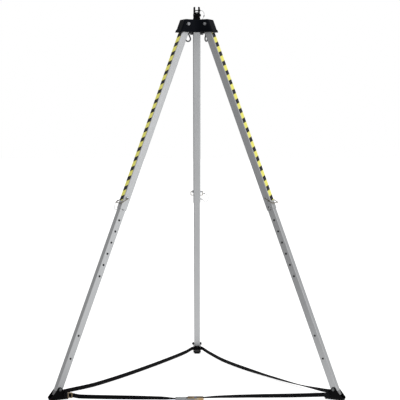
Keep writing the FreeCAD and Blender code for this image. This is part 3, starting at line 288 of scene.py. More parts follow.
class NodeBoard:
    """Lays out one shader tree."""

    def __init__(self, tree: bpy.types.NodeTree) -> None:
        """Start on an emptied tree."""
        self.tree = tree
        tree.nodes.clear()

    def add(self, kind: str, values: dict | None = None, **settings: object) -> bpy.types.Node:
        """Add a node.

        Args:
            kind: The node's type name without its prefix.
            values: Inputs by name or number, each a constant or another node's output.
            settings: Properties of the node.

        Returns:
            The new node.
        """
        node = self.tree.nodes.new(f"ShaderNode{kind}")
        for key, value in settings.items():
            setattr(node, key, value)
        for key, value in (values or {}).items():
            if isinstance(value, bpy.types.NodeSocket):
                self.tree.links.new(value, node.inputs[key])
            else:
                node.inputs[key].default_value = value
        return node

    def math(self, operation: str, *values: object) -> bpy.types.NodeSocket:
        """Add a Math node and return its output."""
        return self.add("Math", dict(enumerate(values)), operation=operation).outputs[0]

    def mix(self, share: object, first: object, second: object) -> bpy.types.NodeSocket:
        """Mix two colours by a share and return the colour."""
        node = self.tree.nodes.new("ShaderNodeMix")
        node.data_type = "RGBA"
        for socket, value in ((node.inputs[0], share), (node.inputs[6], first), (node.inputs[7], second)):
            if isinstance(value, bpy.types.NodeSocket):
                self.tree.links.new(value, socket)
            else:
                socket.default_value = value
        return node.outputs[2]

    def between(self, value: bpy.types.NodeSocket, low: float, high: float) -> bpy.types.NodeSocket:
        """Spread a value from 0 and 1 to two limits."""
        return self.add("MapRange", {0: value, 3: low, 4: high}).outputs[0]

    def noise(self, vector: bpy.types.NodeSocket, scale: float, detail: float = 2.0,
              rough: float = 0.5) -> bpy.types.NodeSocket:
        """Add a noise texture and return its value."""
        return self.add("TexNoise", {"Vector": vector, "Scale": scale, "Detail": detail,
                                     "Roughness": rough}).outputs[0]


class Effects:
    """Node groups that several finishes share."""

    _made: dict[str, bpy.types.NodeTree] = {}

    @classmethod
    def _group(cls, name: str, inputs: dict[str, tuple[str, float]], outputs: dict[str, str]
               ) -> tuple[bpy.types.NodeTree, NodeBoard, bpy.types.Node, bpy.types.Node]:
        """Start a group with its named sockets."""
        tree = bpy.data.node_groups.new(name, "ShaderNodeTree")
        for label, (kind, value) in inputs.items():
            socket = tree.interface.new_socket(label, in_out="INPUT", socket_type=kind)
            if kind == "NodeSocketFloat":
                socket.default_value = value
        for label, kind in outputs.items():
            tree.interface.new_socket(label, in_out="OUTPUT", socket_type=kind)
        board = NodeBoard(tree)
        start = tree.nodes.new("NodeGroupInput")
        end = tree.nodes.new("NodeGroupOutput")
        cls._made[name] = tree
        return tree, board, start, end

    @classmethod
    def grain(cls) -> bpy.types.NodeTree:
        """Fine lines along z with slow clouds, as on drawn and anodised tube."""
        if "drawn_grain" in cls._made:
            return cls._made["drawn_grain"]
        tree, board, start, end = cls._group(
            "drawn_grain", {"Vector": ("NodeSocketVector", 0.0), "Lines": ("NodeSocketFloat", 900.0)},
            {"Line": "NodeSocketFloat", "Cloud": "NodeSocketFloat"})
        thin = board.add("VectorMath", {0: start.outputs[0], 1: (1.0, 1.0, 0.012)}, operation="MULTIPLY")
        lines = board.add("TexNoise", {"Vector": thin.outputs[0], "Scale": start.outputs[1], "Detail": 3.0})
        cloud_way = board.add("VectorMath", {0: start.outputs[0], 1: (1.0, 1.0, 0.25)}, operation="MULTIPLY")
        cloud = board.noise(cloud_way.outputs[0], 14.0, 4.0, 0.6)
        tree.links.new(lines.outputs[0], end.inputs[0])
        tree.links.new(cloud, end.inputs[1])
        return tree

    @classmethod
    def orange_peel(cls) -> bpy.types.NodeTree:
        """Fine uneven skin of powder coat or cast metal, with slow clouds and rare chips."""
        if "coat_skin" in cls._made:
            return cls._made["coat_skin"]
        tree, board, start, end = cls._group(
            "coat_skin", {"Vector": ("NodeSocketVector", 0.0), "Scale": ("NodeSocketFloat", 420.0)},
            {"Height": "NodeSocketFloat", "Cloud": "NodeSocketFloat", "Chip": "NodeSocketFloat"})
        skin = board.add("TexNoise", {"Vector": start.outputs[0], "Scale": start.outputs[1], "Detail": 3.0})
        cells = board.add("TexVoronoi", {"Vector": start.outputs[0], "Scale": start.outputs[1]})
        height = board.math("ADD", skin.outputs[0], board.math("MULTIPLY", cells.outputs[0], 0.5))
        cloud = board.noise(start.outputs[0], 22.0, 4.0, 0.65)
        spots = board.noise(start.outputs[0], 210.0, 2.0, 0.6)
        chip = board.add("MapRange", {0: board.math("MULTIPLY", spots, cloud), 1: 0.40, 2: 0.43})
        tree.links.new(height, end.inputs[0])
        tree.links.new(cloud, end.inputs[1])
        tree.links.new(chip.outputs[0], end.inputs[2])
        return tree

    @classmethod
    def weave(cls) -> bpy.types.NodeTree:
        """Plaited ribs of webbing, from a UV map that counts in metres: across, then along, with a mask for
        painted shade in the valleys between ribs.
        """
        if "webbing_weave" in cls._made:
            return cls._made["webbing_weave"]
        tree, board, start, end = cls._group(
            "webbing_weave", {"Vector": ("NodeSocketVector", 0.0), "Rib": ("NodeSocketFloat", 0.0021)},
            {"Height": "NodeSocketFloat", "Valley": "NodeSocketFloat", "Fuzz": "NodeSocketFloat"})
        parts = board.add("SeparateXYZ", {0: start.outputs[0]})
        rib = board.math("DIVIDE", parts.outputs[0], start.outputs[1])
        row = board.math("DIVIDE", parts.outputs[1], board.math("MULTIPLY", start.outputs[1], 1.35))
        shift = board.math("MULTIPLY", board.math("FLOOR", rib), 0.5)
        across = board.math("ABSOLUTE", board.math("SINE", board.math("MULTIPLY", rib, math.pi)))
        along = board.math("ABSOLUTE", board.math("SINE", board.math(
            "MULTIPLY", board.math("ADD", row, shift), math.pi)))
        bump = board.math("MULTIPLY", across, board.math("ADD", board.math("MULTIPLY", along, 0.55), 0.45))
        # Mask of the valleys between ribs, used for painted shade
        painted_valley_shade = board.add("MapRange", {0: bump, 1: 0.0, 2: 0.45, 3: 1.0, 4: 0.0})
        fuzz = board.noise(start.outputs[0], 2600.0, 2.0, 0.6)
        tree.links.new(bump, end.inputs[0])
        tree.links.new(painted_valley_shade.outputs[0], end.inputs[1])
        tree.links.new(fuzz, end.inputs[2])
        return tree


@dataclass(frozen=True)
class Finish:
    """What every finish has: a name, a roughness and a bump."""

    name: str
    colour: tuple[float, float, float] = (0.5, 0.5, 0.5)
    roughness: float = 0.5
    metallic: float = 0.0
    bump: float = 0.15
    bump_height: float = 0.0002
    gloss: float = 0.5

    def start(self) -> tuple[bpy.types.Material, NodeBoard, bpy.types.Node]:
        """Make an empty material with its Principled shader.

        Returns:
            The material, its board and the shader node.
        """
        material = bpy.data.materials.new(self.name)
        material.use_nodes = True
        board = NodeBoard(material.node_tree)
        shader = board.add("BsdfPrincipled", {"Base Color": (*self.colour, 1), "Roughness": self.roughness,
                                              "Metallic": self.metallic})
        shader.inputs["Specular IOR Level"].default_value = self.gloss
        board.add("OutputMaterial", {0: shader.outputs[0]})
        return material, board, shader

    def shade(self, factor: float) -> tuple[float, float, float, float]:
        """The finish's colour made lighter or darker."""
        return (*(min(1.0, channel * factor) for channel in self.colour), 1.0)

    def effect(self, board: NodeBoard, tree: bpy.types.NodeTree, vector: bpy.types.NodeSocket,
               value: float) -> bpy.types.Node:
        """Place a shared effect in the material with its own values."""
        node = board.tree.nodes.new("ShaderNodeGroup")
        node.node_tree = tree
        board.tree.links.new(vector, node.inputs[0])
        node.inputs[1].default_value = value
        return node

    def close(self, board: NodeBoard, shader: bpy.types.Node, colour: bpy.types.NodeSocket,
              rough: bpy.types.NodeSocket, height: bpy.types.NodeSocket) -> None:
        """Link colour, roughness and, through a Bump node, height to the shader."""
        bump = board.add("Bump", {"Strength": self.bump, "Distance": self.bump_height, "Height": height})
        for label, value in (("Base Color", colour), ("Roughness", rough), ("Normal", bump.outputs[0])):
            board.tree.links.new(value, shader.inputs[label])


@dataclass(frozen=True)
class DrawnAluminium(Finish):
    """Clear anodised square tube with fine lines along the leg."""

    def build(self, place: Matrix) -> bpy.types.Material:
        """Make the material for the tubes of one leg.

        Args:
            place: The leg's frame, whose z runs along the tube.

        Returns:
            The material.
        """
        material, board, shader = self.start()
        vector = leg_vector(board, place)
        grain = self.effect(board, Effects.grain(), vector, 900.0)
        line = board.between(grain.outputs[0], 0.0, 1.0)
        tone = board.mix(line, self.shade(0.93), self.shade(1.05))
        cloud = board.add("MapRange", {0: grain.outputs[1], 1: 0.35, 2: 0.7, 3: 0.0, 4: 0.35})
        colour = board.mix(cloud.outputs[0], tone, self.shade(0.86))
        rough = board.math("ADD", board.between(grain.outputs[0], -0.05, 0.05),
                           board.between(grain.outputs[1], self.roughness - 0.05, self.roughness + 0.07))
        self.close(board, shader, colour, rough, grain.outputs[0])
        return material


@dataclass(frozen=True)
class StripedTape(Finish):
    """Bright yellow tape with black diagonal bars, whose colour also glows as painted light to lift its shaded
    side.
    """

    dark: tuple[float, float, float] = (0.008, 0.008, 0.009)
    period: float = 62.0
    dark_share: float = 0.45
    slope: float = 16.0
    # glow: strength of the painted glow, emission that stands in for light falling on the tape
    glow: float = 0.34

    def build(self, place: Matrix) -> bpy.types.Material:
        """Make the tape's material for one leg.

        Args:
            place: The leg's frame.

        Returns:
            The material.
        """
        material, board, shader = self.start()
        vector = leg_vector(board, place)
        parts = board.add("SeparateXYZ", {0: vector})
        lean = board.math("MULTIPLY", parts.outputs[0], math.tan(math.radians(self.slope)))
        step = board.math("DIVIDE", board.math("ADD", parts.outputs[2], lean), self.period * MM)
        bar = board.math("LESS_THAN", board.math("FRACT", step), self.dark_share)
        scuff = board.noise(vector, 95.0, 5.0, 0.7)
        yellow = board.mix(board.between(scuff, 0.0, 0.5), (*self.colour, 1), self.shade(0.86))
        worn = board.mix(board.add("MapRange", {0: scuff, 1: 0.60, 2: 0.75, 3: 0.0, 4: 0.5}).outputs[0],
                         (*self.dark, 1), (0.03, 0.03, 0.027, 1))
        tone = board.mix(bar, yellow, worn)
        # Painted light: the tape's colour is sent to emission so that it reads lit also where it is in shade.
        board.tree.links.new(tone, shader.inputs["Emission Color"])
        shader.inputs["Emission Strength"].default_value = self.glow
        rough = board.between(scuff, self.roughness - 0.08, self.roughness + 0.12)
        self.close(board, shader, tone, rough, scuff)
        return material


@dataclass(frozen=True)
class CoatedMetal(Finish):
    """Powder coat or a plain cast or moulded skin on Object coordinates."""

    skin_scale: float = 420.0
    chip_colour: tuple[float, float, float] = (0.10, 0.10, 0.10)
    chip_share: float = 0.0

    def build(self) -> bpy.types.Material:
        """Make the material."""
        material, board, shader = self.start()
        vector = board.add("TexCoord").outputs["Object"]
        skin = self.effect(board, Effects.orange_peel(), vector, self.skin_scale)
        tone = board.mix(skin.outputs[1], self.shade(0.8), self.shade(1.25))
        if self.chip_share > 0:
            share = board.math("MULTIPLY", skin.outputs[2], self.chip_share)
            tone = board.mix(share, tone, (*self.chip_colour, 1))
        rough = board.between(skin.outputs[1], self.roughness - 0.07, self.roughness + 0.09)
        self.close(board, shader, tone, rough, skin.outputs[0])
        return material


@dataclass(frozen=True)
class PlatedSteel(Finish):
    """Zinc or yellow zinc plated steel with a slow change of tint."""

    tint: tuple[float, float, float] = (0.6, 0.6, 0.62)

    def build(self) -> bpy.types.Material:
        """Make the material."""
        material, board, shader = self.start()
        vector = board.add("TexCoord").outputs["Object"]
        skin = self.effect(board, Effects.orange_peel(), vector, 1300.0)
        tone = board.mix(board.add("MapRange", {0: skin.outputs[1], 1: 0.35, 2: 0.65}).outputs[0],
                         (*self.colour, 1), (*self.tint, 1))
        rough = board.between(skin.outputs[1], self.roughness - 0.08, self.roughness + 0.1)
        self.close(board, shader, tone, rough, skin.outputs[0])
        return material


@dataclass(frozen=True)
class Webbing(Finish):
    """Woven polyester webbing, patterned on its own UV map, with painted shade in the weave's valleys and painted
    highlight on its ribs.
    """

    rib: float = 2.1
    sheen: float = 0.1

    def build(self) -> bpy.types.Material:
        """Make the material."""
        material, board, shader = self.start()
        shader.inputs["Sheen Weight"].default_value = self.sheen
        shader.inputs["Sheen Roughness"].default_value = 0.5
        vector = board.add("UVMap", uv_map="weave").outputs[0]
        weave = self.effect(board, Effects.weave(), vector, self.rib * MM)
        # Painted shade and highlight: darker in the valleys between ribs, lighter on the ribs.
        tone = board.mix(weave.outputs[1], self.shade(1.35), self.shade(0.45))
        fuzz = board.add("MapRange", {0: weave.outputs[2], 1: 0.45, 2: 0.75, 3: 0.0, 4: 0.5})
        tone = board.mix(fuzz.outputs[0], tone, self.shade(2.2))
        self.close(board, shader, tone, board.between(weave.outputs[1], self.roughness, 0.95), weave.outputs[0])
        return material


@dataclass(frozen=True)
class WireRope(Finish):
    """Fine wire cable with strands that turn round it, on its own UV map, with painted shade in the grooves
    between strands.
    """

    def build(self) -> bpy.types.Material:
        """Make the material."""
        material, board, shader = self.start()
        parts = board.add("SeparateXYZ", {0: board.add("UVMap", uv_map="weave").outputs[0]})
        turn = board.math("ADD", board.math("MULTIPLY", parts.outputs[0], 900.0),
                          board.math("MULTIPLY", parts.outputs[1], 900.0))
        strand = board.math("ABSOLUTE", board.math("SINE", turn))
        # Painted shade and highlight: darker in the grooves between strands, lighter on their crests.
        tone = board.mix(strand, self.shade(0.45), self.shade(1.3))
        self.close(board, shader, tone, board.between(strand, self.roughness + 0.15, self.roughness), strand)
        return material


def leg_vector(board: NodeBoard, place: Matrix) -> bpy.types.NodeSocket:
    """Object coordinates turned into a leg's own frame.

    Args:
        board: The material's board.
        place: The leg's frame in the row frame.

    Returns:
        The coordinates' socket.
    """
    mapping = board.add("Mapping", {"Vector": board.add("TexCoord").outputs["Object"]}, vector_type="TEXTURE")
    mapping.inputs["Location"].default_value = place.to_translation()
    mapping.inputs["Rotation"].default_value = place.to_3x3().to_euler("XYZ")
    return mapping.outputs[0]


class Shelf:
    """Every finish of the tripod, made once."""

    def __init__(self, places: dict[Side, LegPlace]) -> None:
        """Make all materials.

        Args:
            places: The legs' frames, for the finishes that follow a leg.
        """
        aluminium = DrawnAluminium("anodised_tube", (0.60, 0.61, 0.62), roughness=0.42, metallic=0.85, bump=0.10,
                                   bump_height=0.00008)
        tape = StripedTape("hazard_bars", (0.80, 0.76, 0.16), roughness=0.40, bump=0.12, bump_height=0.0001,
                          gloss=0.2)
        self.tube = {}
        self.tape = {}
        for side, place in places.items():
            self.tube[side] = aluminium.build(place.leg)
            self.tube[side].name = f"anodised_tube_{side.value}"
            self.tape[side] = tape.build(place.leg)
            self.tape[side].name = f"hazard_bars_{side.value}"
        coat = partial(CoatedMetal, bump_height=0.0001)
        plate = partial(PlatedSteel, metallic=1.0, bump_height=0.0001)
        self.cast_black = coat("cast_head_coat", (0.0034, 0.0046, 0.0078), roughness=0.46, bump=0.35,
                               bump_height=0.0003, gloss=0.06, skin_scale=520.0,
                               chip_colour=(0.03, 0.03, 0.035), chip_share=0.25).build()
        self.plate_black = coat("plate_coat", (0.0032, 0.0032, 0.0038), roughness=0.42, bump=0.25,
                                bump_height=0.0002, gloss=0.06, skin_scale=640.0,
                                chip_colour=(0.05, 0.05, 0.05), chip_share=0.4).build()
        self.zinc = plate("bright_zinc", (0.62, 0.63, 0.65), roughness=0.28, bump=0.12,
                          tint=(0.52, 0.54, 0.58)).build()
        self.eye_steel = plate("forged_zinc", (0.19, 0.195, 0.20), roughness=0.40, bump=0.3,
                               bump_height=0.0002, tint=(0.13, 0.135, 0.14)).build()
        self.bolt_zinc = plate("bolt_zinc", (0.36, 0.37, 0.385), roughness=0.33, bump=0.12,
                               tint=(0.25, 0.255, 0.27)).build()
        self.bail_zinc = plate("bail_zinc", (0.21, 0.165, 0.095), roughness=0.36,
                               tint=(0.17, 0.15, 0.11)).build()
        self.yellow_zinc = plate("yellow_zinc", (0.50, 0.34, 0.16), roughness=0.30,
                                 tint=(0.50, 0.42, 0.30)).build()
        self.nylon_white = coat("sheave_nylon", (0.70, 0.70, 0.68), roughness=0.42, bump=0.1,
                                skin_scale=300.0).build()
        self.nylon_black = coat("guide_nylon", (0.02, 0.02, 0.02), bump=0.1, gloss=0.3, skin_scale=300.0).build()
        self.plug_grey = coat("end_block", (0.24, 0.24, 0.245), roughness=0.55, gloss=0.4,
                              skin_scale=260.0).build()
        self.rubber = coat("sole_rubber", (0.007, 0.007, 0.0075), roughness=0.78, bump=0.4, bump_height=0.0003,
                           gloss=0.15, skin_scale=380.0, chip_colour=(0.04, 0.037, 0.034), chip_share=0.5).build()
        self.grip = coat("grip_plastic", (0.50, 0.51, 0.52), roughness=0.48, bump_height=0.0002,
                         skin_scale=350.0).build()
        self.webbing = Webbing("black_webbing", (0.0034, 0.0034, 0.0042), roughness=0.7, bump=0.7,
                               bump_height=0.0006, gloss=0.07, sheen=0.02).build()
        self.blue = Webbing("blue_webbing", (0.022, 0.075, 0.28), roughness=0.6, bump=0.7, bump_height=0.0005,
                            gloss=0.4, sheen=0.15).build()
        self.thread = coat("sewing_thread", (0.045, 0.045, 0.05), roughness=0.7, bump=0.3, gloss=0.3,
                           skin_scale=900.0).build()
        self.cable = WireRope("wire_cable", (0.30, 0.30, 0.31), roughness=0.35, metallic=1.0, bump=0.6,
                              bump_height=0.0003).build()
        self.ferrule = coat("ferrule_sleeve", (0.012, 0.012, 0.014), roughness=0.4, bump=0.1, gloss=0.3,
                            skin_scale=500.0).build()


def dress(piece: bpy.types.Object, material: bpy.types.Material) -> None:
    """Give a piece its only material."""
    if len(piece.data.materials) == 0:
        piece.data.materials.append(material)
    for slot in piece.material_slots:
        slot.material = material


def dress_node(name: str, material: bpy.types.Material) -> None:
    """Give a carried-over node its material."""
    dress(frame["nodes"][name], material)


def fit(piece: bpy.types.Object, material: bpy.types.Material, body: str, slot: str, *nodes: str) -> str:
    """Dress a piece, ride it on a body, and hide the carried-over nodes that it replaces.

    Args:
        piece: The piece.
        material: Its finish.
        body: Body that carries it.
        slot: Its material slot; not used.
        nodes: Carried-over nodes that it replaces, if any.

    Returns:
        The piece's name.
    """
    dress(piece, material)
    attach(piece, body)
    if nodes:
        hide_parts(*nodes)
    return piece.name


# ---------------------------------------------------------------- fasteners


@dataclass
class HexBolt:
    """Bolt along x: a chamfered hexagon head, a washer under it and a threaded end with its nut."""

    flats: float
    head: float
    shank: float
    washer_radius: float = 0.0
    washer: float = 0.0
    nut: float = 0.0
    tail: float = 0.0

    def hexagon(self, name: str, start: float, end: float, outward: int) -> bpy.types.Object:
        """Hexagon with a turned chamfer on its outward face.

        Args:
            name: Name of the piece.
            start: Start along x.
            end: End along x.
            outward: 1 if the outward face looks along +x, otherwise -1.

        Returns:
            The piece.
        """
        piece = Bench.cylinder(name, self.flats / math.sqrt(3.0), start, end, 6)
        face_x = (max(start, end) if outward > 0 else min(start, end)) * MM
        chamfer, rise, dish, sink = (self.flats * share * MM for share in (0.045, 0.035, 0.09, 0.012))
        Bench.pick(piece, "FACE", lambda centre, normal: abs(centre.x - face_x) < 1e-5)
        bpy.ops.mesh.inset(thickness=chamfer)
        bpy.ops.transform.translate(value=(outward * rise, 0, 0))
        bpy.ops.mesh.inset(thickness=dish)
        bpy.ops.transform.translate(value=(-outward * sink, 0, 0))
        bpy.ops.object.mode_set(mode="OBJECT")
        Bench.seat(piece, Matrix.Translation((-outward * rise, 0, 0)))
        Bench.bevel_all(piece, 0.35, 2, 25.0)
        Bench.smooth(piece, 30.0)
        return piece

    def ring(self, name: str, start: float, end: float) -> bpy.types.Object:
        """Washer with softened rims."""
        piece = Bench.cylinder(name, self.washer_radius, start, end, 48)
        Bench.bevel_all(piece, 0.3, 2, 40.0)
        Bench.smooth(piece, 30.0)
        return piece

    def threads(self, name: str, start: float, end: float) -> bpy.types.Object:
        """Threaded length: a bar whose rings stand out and in by turns."""
        piece = Bench.cylinder(name, self.shank, start, end, 32)
        turns = max(2, int(abs(end - start) / 0.6))
        low = min(start, end) * MM
        pitch = abs(end - start) * MM / (turns + 1)
        Bench.turn_rings(piece, turns, lambda x: 0.9 if round((x - low) / pitch) % 2 == 0 else 1.0)
        Bench.smooth(piece, 50.0)
        return piece

    def bolt(self, name: str, half: float) -> bpy.types.Object:
        """Bolt seated on +x: washer, head and shank through to its threaded end."""
        seat = half + self.washer
        parts = [self.hexagon(name, seat, seat + self.head, 1)]
        if self.washer > 0:
            parts.append(self.ring(f"{name}_washer", half, seat))
        inner = -seat - self.nut
        parts.append(Bench.cylinder(f"{name}_shank", self.shank, -seat, seat, 32))
        parts.append(self.threads(f"{name}_thread", inner - self.tail, -seat))
        return Bench.join(name, parts)

    def nut_piece(self, name: str, half: float) -> bpy.types.Object:
        """Nut seated on -x, with a washer and a round locking collar."""
        seat = half + self.washer
        parts = [self.hexagon(name, -seat - self.nut * 0.72, -seat, -1)]
        collar = Bench.cylinder(f"{name}_collar", self.flats * 0.44, -seat - self.nut, -seat - self.nut * 0.6, 40)
        Bench.bevel_all(collar, 0.8, 3, 40.0)
        Bench.smooth(collar, 40.0)
        parts.append(collar)
        if self.washer > 0:
            parts.append(self.ring(f"{name}_washer", -seat, -half))
        return Bench.join(name, parts)


# ---------------------------------------------------------------- cords and webbing


def spline_points(name: str, route: Sequence[Vector], steps: int = 24) -> list[Vector]:
    """Points along a smooth curve whose control points are a route.

    Args:
        name: Name for the short-lived curve.
        route: Control points in the row frame.
        steps: Curve points for each control point.

    Returns:
        The points read from the curve.
    """
    curve = bpy.data.curves.new(name, "CURVE")
    curve.dimensions = "3D"
    curve.resolution_u = steps
    spline = curve.splines.new("NURBS")
    spline.points.add(len(route) - 1)
    for target, point in zip(spline.points, route):
        target.co = (*point, 1.0)
    spline.order_u = 3
    spline.use_endpoint_u = True
    carrier = bpy.data.objects.new(name, curve)
    bpy.context.scene.collection.objects.link(carrier)
    bpy.context.view_layer.update()
    mesh = bpy.data.meshes.new_from_object(carrier)
    points = [vertex.co.copy() for vertex in mesh.vertices]
    bpy.data.objects.remove(carrier)
    bpy.data.meshes.remove(mesh)
    return points


def path_length(points: Sequence[Vector]) -> float:
    """Length along points."""
    return sum((b - a).length for a, b in zip(points, points[1:]))


def swept_piece(name: str, rings: Sequence[Sequence[Vector]], travels: Sequence[float],
                edges: Sequence[tuple[float, float]], cap: float) -> bpy.types.Object:
    """Closed skin through rings of points, with a UV map that counts in metres.

    Args:
        name: Name of the piece.
        rings: Equal rings of points in the row frame.
        travels: Travelled length at each ring.
        edges: Place across at the start and end of each side of a ring.
        cap: Travelled length that the last end face shows.

    Returns:
        The piece.
    """
    count = len(edges)
    faces = []
    places = []
    for row, (v0, v1) in enumerate(zip(travels, travels[1:])):
        for side, (u0, u1) in enumerate(edges):
            a, b = row * count + side, row * count + (side + 1) % count
            faces.append((a, b, b + count, a + count))
            places += [(u0, v0), (u1, v0), (u1, v1), (u0, v1)]
    last = (len(rings) - 1) * count
    faces += [tuple(reversed(range(count))), tuple(range(last, last + count))]
    places += [(0.0, 0.0)] * count + [(0.0, cap)] * count
    piece = Bench.mesh_piece(name, [point for ring in rings for point in ring], faces)
    layer = piece.data.uv_layers.new(name="weave")
    for index, place in enumerate(places):
        layer.data[index].uv = place
    return piece


def tube_piece(name: str, points: Sequence[Vector], radius: float, sides: int = 12) -> bpy.types.Object:
    """Round tube along points, closed at both ends.

    Args:
        name: Name of the piece.
        points: The centre line in the row frame.
        radius: Radius in millimetres.
        sides: Sides of the section.

    Returns:
        The piece, with its UV map counting in metres.
    """
    rings = []
    tangent = (points[1] - points[0]).normalized()
    across = tangent.orthogonal().normalized()
    turns = [2 * math.pi * side / sides for side in range(sides)]
    for index, point in enumerate(points):
        before = points[max(index - 1, 0)]
        after = points[min(index + 1, len(points) - 1)]
        tangent = (after - before).normalized()
        across = (across - tangent * across.dot(tangent)).normalized()
        up = tangent.cross(across)
        rings.append([point + (across * math.cos(a) + up * math.sin(a)) * radius * MM for a in turns])
    travels = [0.0]
    for a, b in zip(points, points[1:]):
        travels.append(travels[-1] + (b - a).length)
    girth = 2 * math.pi * radius * MM
    edges = [(girth * side / sides, girth * (side + 1) / sides) for side in range(sides)]
    piece = swept_piece(name, rings, travels, edges, travels[-1])
    Bench.smooth(piece, 60.0)
    return piece


def webbing_section(width: float, thickness: float) -> list[tuple[float, float]]:
    """Outline of a webbing's section, with rounded selvedges: millimetres in, metres out."""
    half = width / 2 * MM
    thick = thickness / 2 * MM
    return [(-half, 0.0), (-half + thick * 0.5, thick * 0.8), (-half + thick * 1.6, thick), (0.0, thick * 0.94),
            (half - thick * 1.6, thick), (half - thick * 0.5, thick * 0.8), (half, 0.0),
            (half - thick * 0.5, -thick * 0.8), (half - thick * 1.6, -thick), (0.0, -thick * 0.94),
            (-half + thick * 1.6, -thick), (-half + thick * 0.5, -thick * 0.8)]


def strip_piece(name: str, frames: Sequence[tuple[Vector, Vector, Vector, float]],
                outline: Sequence[tuple[float, float]]) -> bpy.types.Object:
    """Webbing through frames, closed at both ends.

    Args:
        name: Name of the piece.
        frames: Point, way across, way through and travelled length at each row.
        outline: Section, across and through.

    Returns:
        The piece, with its UV map counting in metres across and along.
    """
    rings = [[point + across * a + through * b for a, b in outline] for point, across, through, _ in frames]
    starts = [a + SELVEDGE for a, _ in outline]
    piece = swept_piece(name, rings, [row[3] for row in frames], list(zip(starts, starts[1:] + starts[:1])), 0.0)
    Bench.outward(piece)
    Bench.smooth(piece, 50.0)
    return piece


@dataclass
class Station:
    """One place along webbing: its point, and its roll from standing on edge, in degrees."""

    point: Vector
    roll: float


